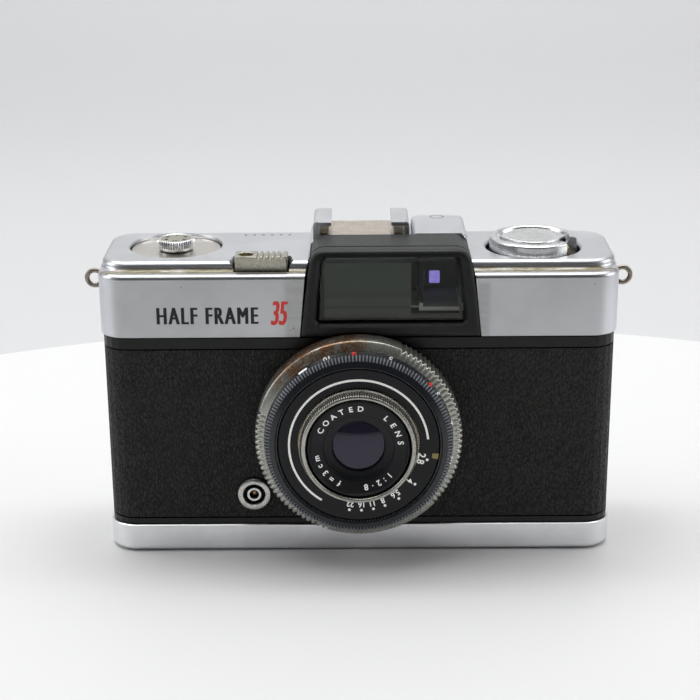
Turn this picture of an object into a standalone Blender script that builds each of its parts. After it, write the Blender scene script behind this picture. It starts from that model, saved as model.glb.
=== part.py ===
# Half frame 35 mm camera, built as an assembly of separate pieces.
# Metres, +Z up, front (lens) towards -Y, origin on the base's underside under the middle of the body.
import math
import bpy
import bmesh
from mathutils import Vector

for o in list(bpy.data.objects):
    bpy.data.objects.remove(o, do_unlink=True)

MM = 0.001
# ---- driving dimensions, millimetres ----
HW = 54.5            # half width of the cover and the base
YF, YB = -14.4, 14.4  # front and rear planes of the cover and the base
RC = 6.0             # plan corner radius
Z_BASE = 6.25        # top of the base pan
Z_LEATHER0, Z_LEATHER1 = 8.0, 46.1
Z_COVER = 48.95      # lower edge of the top cover
Z_LEDGE = 62.45      # narrow ledge along the front of the cover
Z_TOP = 64.35        # top plateau of the cover
Z_PLATFORM = 66.1    # platform under the accessory shoe
Z_FINDER = 68.0      # viewfinder housing
LEDGE = 3.8
SKIN = 0.42          # the covering and the black bands sit this far inside the cover's faces
GAP = 0.3
LX, LZ = -0.15, 28.3   # lens axis
COUNTER = (-39.2, 2.8)
REWIND = (37.4, 1.3)
WIND = (-39.2, 2.8)
SPROCKET = (-22.9, 3.2)
FINDER_X = 17.2

ROOT = bpy.data.objects.new("camera_origin", None)
bpy.context.scene.collection.objects.link(ROOT)


def material(name, colour, rough, metal=0.0):
    m = bpy.data.materials.get(name)
    if m:
        return m
    m = bpy.data.materials.new(name)
    m.use_nodes = True
    b = m.node_tree.nodes["Principled BSDF"]
    b.inputs["Base Color"].default_value = (*colour, 1)
    b.inputs["Roughness"].default_value = rough
    b.inputs["Metallic"].default_value = metal
    return m


SATIN = ("satin_chrome", (0.72, 0.73, 0.76), 0.36, 1.0)
CHROME = ("bright_chrome", (0.78, 0.77, 0.72), 0.18, 1.0)
BLACK = ("black_paint", (0.03, 0.032, 0.032), 0.45, 0.0)
LEATHER = ("black_leatherette", (0.035, 0.037, 0.035), 0.7, 0.0)
ALLOY = ("black_anodised", (0.025, 0.027, 0.03), 0.35, 0.3)
BRASS = ("brass", (0.6, 0.46, 0.22), 0.3, 1.0)
STEEL = ("steel", (0.5, 0.5, 0.5), 0.35, 1.0)
GLASS = ("glass", (0.12, 0.11, 0.2), 0.05, 0.0)
CAST = ("cast_alloy", (0.05, 0.05, 0.05), 0.6, 0.2)


def finish(me, name, mat, smooth=True, helper=False):
    me.validate()
    obj = bpy.data.objects.new(name, me)
    bpy.context.scene.collection.objects.link(obj)
    if mat:
        me.materials.append(material(*mat))
    if smooth:
        me.shade_smooth()
        me.set_sharp_from_angle(angle=math.radians(35))
    if helper:
        obj.hide_render = True
        obj.display_type = "WIRE"
    else:
        obj.parent = ROOT
    return obj


def to_mesh(bm, name):
    bmesh.ops.recalc_face_normals(bm, faces=bm.faces)
    me = bpy.data.meshes.new(name)
    bm.to_mesh(me)
    bm.free()
    return me


def loft(name, loops, mat=None, helper=False, smooth=True):
    """A closed solid through loops of the same point count, in millimetres."""
    bm = bmesh.new()
    rows = [[bm.verts.new(Vector(p) * MM) for p in loop] for loop in loops]
    n = len(rows[0])
    for a, b in zip(rows, rows[1:]):
        for i in range(n):
            j = (i + 1) % n
            bm.faces.new((a[i], a[j], b[j], b[i]))
    bm.faces.new(rows[0][::-1])
    bm.faces.new(rows[-1])
    return finish(to_mesh(bm, name), name, mat, smooth, helper)


def rounded(x0, x1, y0, y1, r, seg=4, front=None):
    """Rounded rectangle outline. front gives the two -Y corners a radius of their own."""
    rf = r if front is None else front
    pts = []
    for cx, cy, a0, rr in ((x1 - r, y1 - r, 0, r), (x0 + r, y1 - r, 90, r),
                           (x0 + rf, y0 + rf, 180, rf), (x1 - rf, y0 + rf, 270, rf)):
        for k in range(seg + 1):
            a = math.radians(a0 + 90 * k / seg)
            pts.append((cx + rr * math.cos(a), cy + rr * math.sin(a)))
    return pts


def slab(name, x0, x1, y0, y1, r, layers, mat=None, helper=False, seg=4, front=None):
    """Rounded prism whose outline is inset at each (z, inset) layer, which draws its fillets."""
    loops = []
    for z, d in layers:
        rr = max(r - d, 0.25)
        rf = None if front is None else max(front - d, 0.25)
        loops.append([(x, y, z) for x, y in rounded(x0 + d, x1 - d, y0 + d, y1 - d, rr, seg, rf)])
    return loft(name, loops, mat, helper)


def box(name, x0, x1, y0, y1, z0, z1, mat=None, helper=False):
    return loft(name, [[(x0, y0, z), (x1, y0, z), (x1, y1, z), (x0, y1, z)] for z in (z0, z1)],
                mat, helper, smooth=False)


def prism_y(name, outline, y0, y1, mat=None, helper=False):
    """An (x, z) outline extruded along Y."""
    return loft(name, [[(x, y, z) for x, z in outline] for y in (y0, y1)], mat, helper)


def prism_z(name, outline, z0, z1, mat=None, helper=False):
    return loft(name, [[(x, y, z) for x, y in outline] for z in (z0, z1)], mat, helper)


def turn(name, profile, axis, centre, seg=32, mat=None, helper=False, phase=0.0, wave=None):
    """A closed profile of (radius, height) turned about an axis through centre. A radius of 0 closes on the axis.
    axis 'Z': height along +Z. axis 'Y': height along +Y, centre = (x, z)."""
    bm = bmesh.new()
    cols = []
    for k in range(seg):
        a = phase + 2 * math.pi * k / seg
        col = []
        for i, (r, h) in enumerate(profile):
            if r <= 1e-6 and k:
                col.append(cols[0][i])
                continue
            rr = r if wave is None else wave(k, i, r)
            c, s = rr * math.cos(a), rr * math.sin(a)
            if axis == "Z":
                p = (centre[0] + c, centre[1] + s, h)
            elif axis == "Y":
                p = (centre[0] + c, h, centre[1] + s)
            else:
                p = (h, centre[0] + c, centre[1] + s)
            col.append(bm.verts.new(Vector(p) * MM))
        cols.append(col)
    m = len(profile)
    for k in range(seg):
        a, b = cols[k], cols[(k + 1) % seg]
        for i in range(m):
            j = (i + 1) % m
            vs = []
            for v in (a[i], b[i], b[j], a[j]):
                if v not in vs:
                    vs.append(v)
            if len(vs) >= 3:
                bm.faces.new(vs)
    return finish(to_mesh(bm, name), name, mat, True, helper)


def cyl(name, axis, centre, r, h0, h1, seg=24, mat=None, helper=False):
    return turn(name, [(0, h0), (r, h0), (r, h1), (0, h1)], axis, centre, seg, mat, helper)


def tube(name, axis, centre, r0, r1, h0, h1, seg=24, mat=None, helper=False):
    return turn(name, [(r0, h0), (r1, h0), (r1, h1), (r0, h1)], axis, centre, seg, mat, helper)


def boolean(obj, other, op="DIFFERENCE"):
    m = obj.modifiers.new(op.lower() + "_" + other.name, "BOOLEAN")
    m.operation = op
    m.object = other
    m.solver = "EXACT"
    return obj


# ================= back and base (one unit that slides off downwards) =================
base = slab("base_pan", -HW, HW, YF, YB, RC,
            [(0.0, 1.3), (0.35, 0.55), (1.3, 0.0), (Z_BASE - 0.3, 0.0), (Z_BASE, 0.12)], SATIN, seg=5)
boolean(base, slab("cut_base_inside", -HW + 0.9, HW - 0.9, YF + 0.9, YB - 0.9, RC - 0.9,
                   [(1.0, 0.9), (1.9, 0.0), (8.0, 0.0)], helper=True, seg=5))
LOCK = (-36.0, 0.5)
TRIPOD = (24.0, 0.5)
boolean(base, cyl("cut_lock_hole", "Z", LOCK, 6.6, -1, 1.7, 28, helper=True))
boolean(base, cyl("cut_tripod_hole", "Z", TRIPOD, 5.3, -1, 1.7, 24, helper=True))

tripod = turn("tripod_socket", [(3.1, 0.1), (5.0, 0.1), (5.0, 1.3), (6.6, 1.3), (6.6, 2.2), (3.1, 2.2)],
              "Z", TRIPOD, 24, STEEL)

# rear wall of the back, with rounded ends that wrap the body's sides
Y_SEAM = 7.2
shell_out = slab("back_shell", -HW + SKIN + 0.75, HW - SKIN - 0.75, -20, YB - SKIN - 0.75, RC - SKIN - 0.75,
                 [(Z_BASE + 0.3, 0), (48.7, 0)], BLACK, seg=5)
boolean(shell_out, slab("cut_back_shell_inside", -HW + SKIN + 1.45, HW - SKIN - 1.45, -30, YB - SKIN - 1.45,
                        RC - SKIN - 1.45, [(0, 0), (60, 0)], helper=True, seg=5))
boolean(shell_out, box("cut_back_shell_front", -70, 70, -40, Y_SEAM, -5, 70, helper=True))

back_skin = slab("back_leather", -HW + SKIN, HW - SKIN, -20, YB - SKIN, RC - SKIN,
                 [(Z_LEATHER0, 0.0), (Z_LEATHER1, 0.0)], LEATHER, seg=5)
boolean(back_skin, slab("cut_back_leather_inside", -HW + SKIN + 0.45, HW - SKIN - 0.45, -30, YB - SKIN - 0.45,
                        RC - SKIN - 0.45, [(0, 0), (60, 0)], helper=True, seg=5))
boolean(back_skin, box("cut_back_leather_front", -70, 70, -40, Y_SEAM, -5, 70, helper=True))

pressure = slab("pressure_plate", -18.2, 18.2, 8.7, 9.7, 0.4, [(10.3, 0), (46.3, 0)], STEEL, seg=1)
boolean(pressure, box("cut_pressure_corner", -16.8, 16.8, 9.3, 10.5, 12, 44.6, helper=True))


def leaf_spring(name, x):
    """Bowed leaf between the pressure plate and the back."""
    loops = []
    for k in range(9):
        t = k / 8
        z = 16 + 24 * t
        y = 10.05 + 1.4 * math.sin(math.pi * t)
        loops.append([(x - 2, y, z), (x + 2, y, z), (x + 2, y + 0.3, z), (x - 2, y + 0.3, z)])
    return loft(name, loops, STEEL)


leaf_spring("pressure_spring", 0)

# lock key in the base, with its folding wing
key = turn("lock_key", [(0, 0.35), (6.2, 0.35), (6.2, 1.4), (7.2, 1.4), (7.2, 2.2), (0, 2.2)], "Z", LOCK, 28, CHROME)
boolean(key, box("cut_key_pocket", LOCK[0] - 5.1, LOCK[0] + 5.1, LOCK[1] - 4.2, LOCK[1] + 1.3, -0.5, 1.25, helper=True))
wing = [(LOCK[0] - 4.6, LOCK[1] + 0.9), (LOCK[0] - 4.6, LOCK[1] - 0.6)]
wing += [(LOCK[0] + 4.6 * math.cos(math.radians(a)), LOCK[1] - 0.6 + 3.1 * math.sin(math.radians(a))) for a in range(200, 341, 20)]
wing += [(LOCK[0] + 4.6, LOCK[1] - 0.6), (LOCK[0] + 4.6, LOCK[1] + 0.9)]
prism_z("lock_wing", wing, 0.3, 0.9, CHROME)

# ================= main casting =================
F_IN = SKIN + 0.75      # frame's faces behind the covering
frame = slab("body_frame", -HW + F_IN, HW - F_IN, YF + F_IN, 12.0, RC - F_IN, [(7.0, 0), (49.6, 0)], CAST, seg=5)
boolean(frame, slab("add_foot", -HW + 1.6, HW - 1.6, YF + 1.6, 11.8, RC - 1.6, [(2.7, 0.0), (8.5, 0)], helper=True, seg=5), "UNION")
band_top = slab("add_band_top", -HW + SKIN, HW - SKIN, YF + SKIN, 11.9, RC - SKIN, [(Z_LEATHER1 + 0.3, 0), (Z_COVER - 0.3, 0)], helper=True, seg=5)
boolean(frame, band_top, "UNION")
band_low = slab("add_band_low", -HW + SKIN, HW - SKIN, YF + SKIN, 11.9, RC - SKIN, [(Z_BASE + 0.3, 0), (Z_LEATHER0 - 0.3, 0)], helper=True, seg=5)
boolean(frame, band_low, "UNION")
boolean(frame, slab("add_cassette_roof", 22.6, 51.3, -13.1, 11.7, 3.0, [(48, 0), (53.3, 0)], helper=True, seg=3), "UNION")
# room for the back's wrapped ends and rear wall
boolean(frame, box("cut_frame_left_end", -70, -HW + 3.5, Y_SEAM - 0.3, 20, -5, 60, helper=True))
boolean(frame, box("cut_frame_right_end", HW - 3.5, 70, Y_SEAM - 0.3, 20, -5, 60, helper=True))
# middle of the rear lies back for the pressure plate
boolean(frame, box("cut_frame_rear_middle", -21.0, 21.0, 8.2, 20, -5, 47.6, helper=True))
# chambers, open at the rear
boolean(frame, box("cut_cassette_chamber", 24.0, 50.0, -12.4, 30, 4.7, 52.0, helper=True))
boolean(frame, box("cut_take_up_chamber", -50.0, -16.2, -12.4, 30, 4.7, 47.6, helper=True))
# light throat from the lens to the film gate
boolean(frame, loft("cut_throat", [[(x * w, y, LZ + z * h) for x, z in ((-1, -1), (1, -1), (1, 1), (-1, 1))]
                                   for w, h, y in ((11.6, 13.4, -10.0), (9.0, 12.0, 9.5))], helper=True))
boolean(frame, cyl("cut_lens_seat", "Y", (LX, LZ), 16.2, -20, -9.6, 32, helper=True))
# passages for the rewind shaft, the wind shafts and the finder
boolean(frame, cyl("cut_rewind_passage", "Z", REWIND, 2.7, 50, 56, 16, helper=True))
boolean(frame, cyl("cut_wind_passage", "Z", WIND, 2.2, 45, 52, 16, helper=True))
boolean(frame, cyl("cut_sprocket_passage", "Z", SPROCKET, 1.5, 45, 52, 16, helper=True))
boolean(frame, box("cut_finder_seat", -12.7, 26.0, -20, -2.1, 48.9, 60, helper=True))
boolean(frame, cyl("cut_flange_room", "Y", (LX, LZ), 21.3, -20, -13.2, 40, helper=True))
boolean(frame, cyl("cut_sync_seat", "Y", (-22.7, 13.5), 3.1, -20, -9, 20, helper=True))

# covering on the front and the sides
for side in ("left", "right"):
    skin = slab("front_leather_" + side, -HW + SKIN, HW - SKIN, YF + SKIN, 30, RC - SKIN, [(Z_LEATHER0, 0), (Z_LEATHER1, 0)], LEATHER, seg=5)
    boolean(skin, slab("cut_leather_inside_" + side, -HW + SKIN + 0.45, HW - SKIN - 0.45, YF + SKIN + 0.45, 40, RC - SKIN - 0.45, [(0, 0), (60, 0)], helper=True, seg=5))
    boolean(skin, box("cut_leather_rear_" + side, -70, 70, Y_SEAM - 0.35, 50, -5, 70, helper=True))
    boolean(skin, box("cut_leather_half_" + side, -90 if side == "right" else LX, LX if side == "right" else 90, -20, 50, -5, 70, helper=True))
    boolean(skin, cyl("cut_leather_lens_" + side, "Y", (LX, LZ), 21.3, -20, -8, 40, helper=True))
    if side == "left":
        boolean(skin, cyl("cut_leather_sync", "Y", (-22.7, 13.5), 3.9, -20, -8, 20, helper=True))

# ================= top cover =================
T = 0.9
cover = slab("top_cover", -HW, HW, YF, YB, RC,
             [(Z_COVER, 0.1), (Z_COVER + 0.3, 0), (Z_LEDGE - 1.0, 0), (Z_LEDGE - 0.3, 0.3), (Z_LEDGE, 1.0)], SATIN, seg=5)
boolean(cover, slab("add_plateau", -HW, HW, YF + LEDGE, YB, RC,
                    [(Z_LEDGE - 6, 1.2), (Z_LEDGE - 0.9, 0.2), (Z_TOP - 0.9, 0.35), (Z_TOP - 0.3, 0.7), (Z_TOP, 1.5)],
                    helper=True, seg=5, front=5.0), "UNION")
boolean(cover, slab("add_platform", -11.0, 23.3, YF + 0.4, YB - 0.3, 1.6,
                    [(Z_LEDGE - 5, 0), (Z_PLATFORM - 0.5, 0.0), (Z_PLATFORM, 0.5)], helper=True, seg=2), "UNION")
boolean(cover, slab("add_finder_bump", 11.5, 23.1, -4.0, YB - 0.2, 1.8,
                    [(Z_LEDGE - 4, 0), (Z_FINDER - 0.9, 0.0), (Z_FINDER - 0.25, 0.3), (Z_FINDER, 0.95)], helper=True, seg=3), "UNION")
boolean(cover, slab("cut_cover_inside", -HW + T, HW - T, YF + T, YB - T, RC - T, [(40, 0), (Z_LEDGE - T, 0)], helper=True, seg=5))
boolean(cover, slab("cut_plateau_inside", -HW + T + 0.9, HW - T - 0.9, YF + LEDGE + T + 0.5, YB - T - 0.6, 3.6,
                    [(55, 0), (Z_TOP - T, 0)], helper=True, seg=4))
boolean(cover, box("cut_bump_inside", 12.3, 22.1, -6, YB - 1.3, 60, Z_FINDER - T, helper=True))
# openings
bez_out = [(-12.3, 48.0), (25.6, 48.0), (25.6, 49.0), (24.2, 62.0), (23.0, 66.6), (21.6, 68.6), (-8.4, 68.6), (-9.9, 66.6), (-11.1, 62.0), (-12.3, 49.0)]
boolean(cover, prism_y("cut_bezel_opening", bez_out, -20, -2.3, helper=True))
boolean(cover, cyl("cut_counter_hole", "Z", COUNTER, 9.9, 60, 70, 36, helper=True))
boolean(cover, cyl("cut_rewind_hole", "Z", REWIND, 10.1, 60, 70, 36, helper=True))
boolean(cover, box("cut_button_hole", -26.2, -14.2, -11.8, -6.1, 60, 70, helper=True))
boolean(cover, box("cut_wind_slot", WIND[0] - 8.8, WIND[0] + 8.8, 12.5, 20, 50.2, 54.8, helper=True))
boolean(cover, box("cut_eyepiece_hole", FINDER_X - 4.6, FINDER_X + 4.6, 12, 20, 59.6, 65.6, helper=True))
boolean(cover, cyl("cut_rewind_button_hole", "Y", (-20.5, 58.3), 2.5, 12, 20, 20, helper=True))
boolean(cover, cyl("cut_cover_lens", "Y", (LX, LZ), 21.4, -20, -11, 48, helper=True))

# ================= viewfinder =================
bez = [(-12.0, 49.3), (25.3, 49.3), (25.0, 53.0), (23.9, 62.0), (22.9, 65.6), (21.9, 67.2), (20.3, 68.0),
       (-7.2, 68.0), (-8.8, 67.2), (-9.8, 65.6), (-10.8, 62.0), (-11.8, 53.0)]
bezel = prism_y("finder_bezel", bez, -16.0, -2.6, BLACK)
boolean(bezel, prism_y("cut_bezel_window", [(-8.9, 52.6), (22.4, 52.6), (22.0, 60), (21.0, 65.6), (20.0, 66.6), (-6.9, 66.6), (-7.9, 65.6), (-8.7, 60)], -20, 5, helper=True))
boolean(bezel, box("cut_bezel_tunnel_room", 12.2, 22.15, -13.0, 5, 53.8, 66.3, helper=True))
boolean(bezel, cyl("cut_bezel_lens", "Y", (LX, LZ), 22.3, -20, -12.6, 48, helper=True))
prism_y("finder_window", [(-8.2, 53.0), (21.8, 53.0), (21.4, 60), (20.4, 65.3), (19.6, 66.1), (-6.5, 66.1), (-7.3, 65.3), (-8.0, 60)], -15.2, -14.3, GLASS)
mask = prism_y("finder_mask", [(-8.2, 53.0), (21.8, 53.0), (21.4, 60), (20.4, 65.3), (19.6, 66.1), (-6.5, 66.1), (-7.3, 65.3), (-8.0, 60)], -13.9, -13.2, BLACK)
boolean(mask, box("cut_mask_finder", 13.4, 21.0, -15, -10, 55.0, 65.2, helper=True))
slab("frame_light_diffuser", -7.0, 10.4, -12.7, -11.8, 0.3, [(54.0, 0), (65.4, 0)], ("diffuser", (0.25, 0.27, 0.25), 0.5), seg=1)
tunnel = box("finder_tunnel", 12.6, 21.8, -12.6, 12.6, 54.2, 66.0, BLACK)
boolean(tunnel, box("cut_tunnel", 13.4, 21.0, -20, 20, 55.0, 65.2, helper=True))


def pane(name, x0, x1, z0, z1, y0, y1, bulge, mat):
    """A small rectangular lens: flat at y1, crowned towards -Y."""
    n = 4
    bm = bmesh.new()
    grid = [[bm.verts.new(Vector((x0 + (x1 - x0) * i / n, y0 - bulge * (1 - (2 * i / n - 1) ** 2) * (1 - (2 * j / n - 1) ** 2),
                                  z0 + (z1 - z0) * j / n)) * MM) for i in range(n + 1)] for j in range(n + 1)]
    back = [[bm.verts.new(Vector((x0 + (x1 - x0) * i / n, y1, z0 + (z1 - z0) * j / n)) * MM) for i in range(n + 1)] for j in range(n + 1)]
    for j in range(n):
        for i in range(n):
            bm.faces.new((grid[j][i], grid[j][i + 1], grid[j + 1][i + 1], grid[j + 1][i]))
            bm.faces.new((back[j][i], back[j + 1][i], back[j + 1][i + 1], back[j][i + 1]))
    for i in range(n):
        bm.faces.new((grid[0][i + 1], grid[0][i], back[0][i], back[0][i + 1]))
        bm.faces.new((grid[n][i], grid[n][i + 1], back[n][i + 1], back[n][i]))
        bm.faces.new((grid[i][0], grid[i + 1][0], back[i + 1][0], back[i][0]))
        bm.faces.new((grid[i + 1][n], grid[i][n], back[i][n], back[i + 1][n]))
    return finish(to_mesh(bm, name), name, mat)


pane("finder_objective", 13.7, 20.7, 55.4, 64.8, -10.2, -9.0, 0.5, GLASS)
pane("finder_eyepiece_lens", 13.7, 20.7, 58.2, 64.6, 9.4, 10.4, 0.6, GLASS)
eye = slab("eyepiece_frame", FINDER_X - 4.2, FINDER_X + 4.2, 12.9, 15.3, 0.4, [(60.0, 0), (65.2, 0)], BLACK, seg=1)
boolean(eye, box("cut_eyepiece_frame", FINDER_X - 3.2, FINDER_X + 3.2, 10, 20, 60.9, 64.3, helper=True))

# ================= accessory shoe =================
SX = 0.65
shoe_out = [(SX - 10.25, 66.4), (SX + 10.25, 66.4), (SX + 10.25, 69.6), (SX + 9.85, 70.0), (SX + 6.4, 70.0), (SX + 6.4, 69.05),
            (SX + 9.3, 69.05), (SX + 9.3, 67.1), (SX - 9.3, 67.1), (SX - 9.3, 69.05), (SX - 6.4, 69.05), (SX - 6.4, 70.0),
            (SX - 9.85, 70.0), (SX - 10.25, 69.6)]
prism_y("accessory_shoe", shoe_out, -0.4, 12.4, SATIN)

# ================= release button =================
but = slab("release_button", -25.7, -14.7, -11.35, -6.5, 0.5,
           [(60.5, 0), (65.25, 0), (65.55, 0.25)], SATIN, seg=1)
boolean(but, cyl("cut_cable_socket", "Z", (-23.4, -8.95), 1.35, 62.5, 70, 16, helper=True))
for k in range(5):
    x = -20.6 + 1.25 * k
    boolean(but, prism_y(f"cut_grip_{k}", [(x - 0.5, 66.0), (x, 65.1), (x + 0.5, 66.0)], -13, -5, helper=True))
rod = turn("release_rod", [(0, 51.5), (0.9, 51.5), (0.9, 58.2), (2.2, 58.2), (2.2, 60.2), (0, 60.2)], "Z", (-20.2, -8.9), 12, STEEL)

# helical return spring of the release, around its rod
N, turns = 50, 5
bm = bmesh.new()
path = []
for k in range(N + 1):
    a = 2 * math.pi * turns * k / N
    path.append(Vector((-20.2 + 1.55 * math.cos(a), -8.9 + 1.55 * math.sin(a), 52.0 + 5.6 * k / N)))
cu = bpy.data.curves.new("release_spring", "CURVE")
cu.dimensions = "3D"
sp = cu.splines.new("POLY")
sp.points.add(N)
for q, p in zip(sp.points, path):
    q.co = (*(p * MM), 1)
cu.bevel_depth = 0.18 * MM
cu.bevel_resolution = 0
cu.use_fill_caps = True
cu.materials.append(material(*STEEL))
spring = bpy.data.objects.new("release_spring", cu)
bpy.context.scene.collection.objects.link(spring)
spring.parent = ROOT

# ================= frame counter =================
turn("counter_dial", [(1.6, 62.1), (9.5, 62.1), (9.5, 63.2), (9.3, 63.4), (1.6, 63.4)], "Z", COUNTER, 32, SATIN)
turn("counter_knob", [(0, 58.0), (1.25, 58.0), (1.25, 63.75), (3.9, 63.75), (4.15, 64.0), (4.15, 65.75), (3.85, 66.05), (0, 66.05)],
     "Z", COUNTER, 28, SATIN)

# ================= wind side =================
turn("wind_wheel", [(0, 44.2), (1.7, 44.2), (1.7, 50.7), (12.75, 50.7), (13.1, 51.1), (13.1, 53.9), (12.75, 54.3), (1.7, 54.3), (1.7, 57.0), (0, 57.0)],
     "Z", WIND, 48, CHROME, wave=lambda k, i, r: r - (0.35 if (k % 2 and r > 12) else 0))
spool = turn("take_up_spool", [(0, 6.0), (8.2, 6.0), (8.2, 7.0), (5.6, 7.4), (5.6, 42.6), (8.2, 43.0), (8.2, 43.9), (0, 43.9)], "Z", WIND, 24, BLACK)
boolean(spool, box("cut_spool_slot", WIND[0] - 0.5, WIND[0] + 0.5, WIND[1] - 9, WIND[1] - 2.6, 12, 38, helper=True))


def teeth(k, i, r):
    return r + (1.1 if (k % 3 == 0 and i in (3, 4, 9, 10)) else 0.0)


turn("sprocket", [(0, 9.6), (3.0, 9.6), (5.0, 10.4), (5.0, 12.0), (5.0, 13.0), (5.0, 14.6), (3.6, 15.4), (3.6, 41.4), (5.0, 42.2),
                  (5.0, 43.4), (5.0, 44.4), (5.0, 45.2), (3.0, 46.2), (1.1, 46.5), (1.1, 52.2), (2.6, 52.2), (2.6, 53.2), (0, 53.2)], "Z", SPROCKET, 24, STEEL, wave=teeth)

# rewind release button on the rear of the cover
turn("rewind_button", [(0, 11.0), (1.0, 11.0), (1.0, 12.6), (3.1, 12.6), (3.1, 13.2), (2.1, 13.2), (2.1, 15.4), (1.9, 15.7), (0, 15.7)],
     "Y", (-20.5, 58.3), 20, CHROME)

# ================= rewind side =================
knob = turn("rewind_knob", [(0, 59.6), (6.0, 59.6), (6.0, 61.6), (9.3, 62.0), (9.3, 66.0), (8.9, 66.5), (7.8, 66.5), (7.8, 65.1), (0, 65.1)],
            "Z", REWIND, 40, SATIN)
boolean(knob, cyl("cut_handle_pocket", "Z", (REWIND[0] - 4.9, REWIND[1]), 2.3, 63.2, 70, 16, helper=True))
boolean(knob, box("cut_knob_notch", REWIND[0] + 5.6, REWIND[0] + 12, REWIND[1] - 6.8, REWIND[1] - 2.4, 63.0, 70, helper=True))
turn("rewind_shaft", [(0, 45.6), (0.9, 45.6), (2.0, 46.6), (2.0, 59.3), (0, 59.3)], "Z", REWIND, 16, STEEL)
fork = box("rewind_fork", REWIND[0] - 2.2, REWIND[0] + 2.2, REWIND[1] - 0.4, REWIND[1] + 0.4, 41.6, 45.3, STEEL)
boolean(fork, box("cut_fork", REWIND[0] - 0.9, REWIND[0] + 0.9, REWIND[1] - 2, REWIND[1] + 2, 40, 44.2, helper=True))
# folding crank: an eye-shaped plate hinged at its right end, with a handle under its left end
pts = []
for k in range(13):
    t = k / 12
    x = REWIND[0] - 6.7 + 13.4 * t
    pts.append((x, 4.9 * math.sin(math.pi * (0.12 + 0.76 * t)) ** 0.9))
eye_pts = [(x, REWIND[1] - w) for x, w in pts] + [(x, REWIND[1] + w) for x, w in pts[::-1]]
prism_z("rewind_crank", eye_pts, 65.5, 66.6, SATIN)
turn("crank_handle", [(0, 63.7), (1.4, 63.7), (1.6, 63.9), (1.6, 65.0), (1.4, 65.2), (0, 65.2)], "Z", (REWIND[0] - 4.9, REWIND[1]), 16, CHROME)

# ================= strap lugs =================
for side, name in ((-1, "strap_lug_left"), (1, "strap_lug_right")):
    ring = tube(name, "Y", (side * 56.75, 57.9), 1.15, 2.2, -0.3, 1.1, 20, STEEL)
    boolean(ring, cyl("add_stem_" + name, "X", (0.4, 57.9), 0.9, min(side * 54.8, side * 55.4), max(side * 54.8, side * 55.4), 12, helper=True), "UNION")

# ================= flash sync terminal =================
SY = (-22.7, 13.5)
turn("sync_ring", [(2.2, -11.7), (2.8, -11.7), (2.8, -13.6), (3.6, -13.6), (3.6, -14.6), (3.3, -15.0), (2.4, -15.0), (2.2, -14.7)], "Y", SY, 28, CHROME)
tube("sync_sleeve", "Y", SY, 1.05, 1.5, -14.7, -11.5, 20, CHROME)
turn("sync_insulator", [(0, -13.4), (0.72, -13.4), (0.72, -11.3), (0, -11.3)], "Y", SY, 16, ("insulator", (0.2, 0.07, 0.03), 0.6))

# ================= lens and shutter =================
L = (LX, LZ)
# fixed shutter housing: rear spigot, flange, barrel and an inner wall behind the blades
turn("shutter_housing", [(9.0, -10.0), (15.8, -10.0), (15.8, -13.5), (20.9, -13.5), (20.9, -14.9), (18.5, -14.9), (18.5, -20.4),
                         (16.9, -20.4), (16.9, -14.0), (14.6, -14.0), (14.6, -11.1), (9.0, -11.1)], "Y", L, 40, BLACK)
# shutter speed ring, gripped at its two sides
SEG_A = 72


def grip(k, i, r):
    a = 360.0 * k / SEG_A
    side = min(abs(((a + 180) % 360) - 180), abs(a - 180))
    return r - (0.45 if (r > 21.5 and side < 42 and k % 3 == 0) else 0)


turn("speed_ring", [(18.9, -15.2), (21.8, -15.2), (21.8, -20.1), (20.4, -20.75), (20.0, -20.75), (20.0, -20.0), (18.9, -20.0)], "Y", L, SEG_A, CHROME, wave=grip)
# focusing ring with its scale and fine grip
turn("focus_ring", [(17.0, -20.8), (19.7, -20.8), (19.7, -21.2), (19.05, -21.9), (19.6, -22.1), (19.6, -23.9), (19.25, -24.3), (18.6, -24.35), (17.6, -23.7), (17.0, -23.7)],
     "Y", L, 48, ALLOY)
# threaded carrier that the focusing ring drives
turn("lens_carrier", [(11.2, -14.7), (16.5, -14.7), (16.5, -22.3), (11.2, -22.3)], "Y", L, 32, BRASS)
turn("aperture_dial", [(12.9, -22.6), (16.7, -22.6), (16.7, -23.65), (12.9, -23.65)], "Y", L, 40, BLACK)
turn("aperture_grip_ring", [(10.95, -22.6), (12.55, -22.6), (12.55, -23.7), (11.6, -26.2), (10.95, -26.2)], "Y", L, 40, CHROME)
turn("front_lens_cell", [(7.0, -18.1), (10.6, -18.1), (10.6, -25.7), (10.2, -25.9), (7.0, -25.0)], "Y", L, 32, ALLOY)


def lens(name, r, y_edge0, y_edge1, front, rear, mat=GLASS):
    """Turned lens element: front and rear are how far each face bulges out at the axis."""
    prof = [(0, y_edge1 + rear)] + [(r * k / 4, y_edge1 + rear * (1 - (k / 4) ** 2)) for k in (1, 2, 3)] + [(r, y_edge1), (r, y_edge0)]
    prof += [(r * k / 4, y_edge0 - front * (1 - (k / 4) ** 2)) for k in (3, 2, 1)] + [(0, y_edge0 - front)]
    return turn(name, prof, "Y", L, 20, mat)


lens("front_element", 6.6, -23.1, -21.7, 1.3, -0.3)
lens("middle_element", 6.2, -20.4, -19.3, -0.4, -0.4)
turn("rear_lens_cell", [(5.4, -9.4), (7.4, -9.4), (7.4, -12.6), (6.6, -13.0), (5.4, -13.0)], "Y", L, 28, BLACK)
lens("rear_element", 5.1, -12.3, -10.7, 0.5, 0.9)


def crescent(name, y0, y1, angle, inner, outer, span, mat):
    """A thin curved blade beside the light path, pivoted near one end."""
    outline, n = [], 8
    for k in range(n + 1):
        a = math.radians(angle + span * k / n)
        outline.append((LX + outer * math.cos(a), LZ + outer * math.sin(a)))
    for k in range(n, -1, -1):
        a = math.radians(angle + span * k / n)
        outline.append((LX + inner * math.cos(a), LZ + inner * math.sin(a)))
    return prism_y(name, outline, y0, y1, mat)


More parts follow.
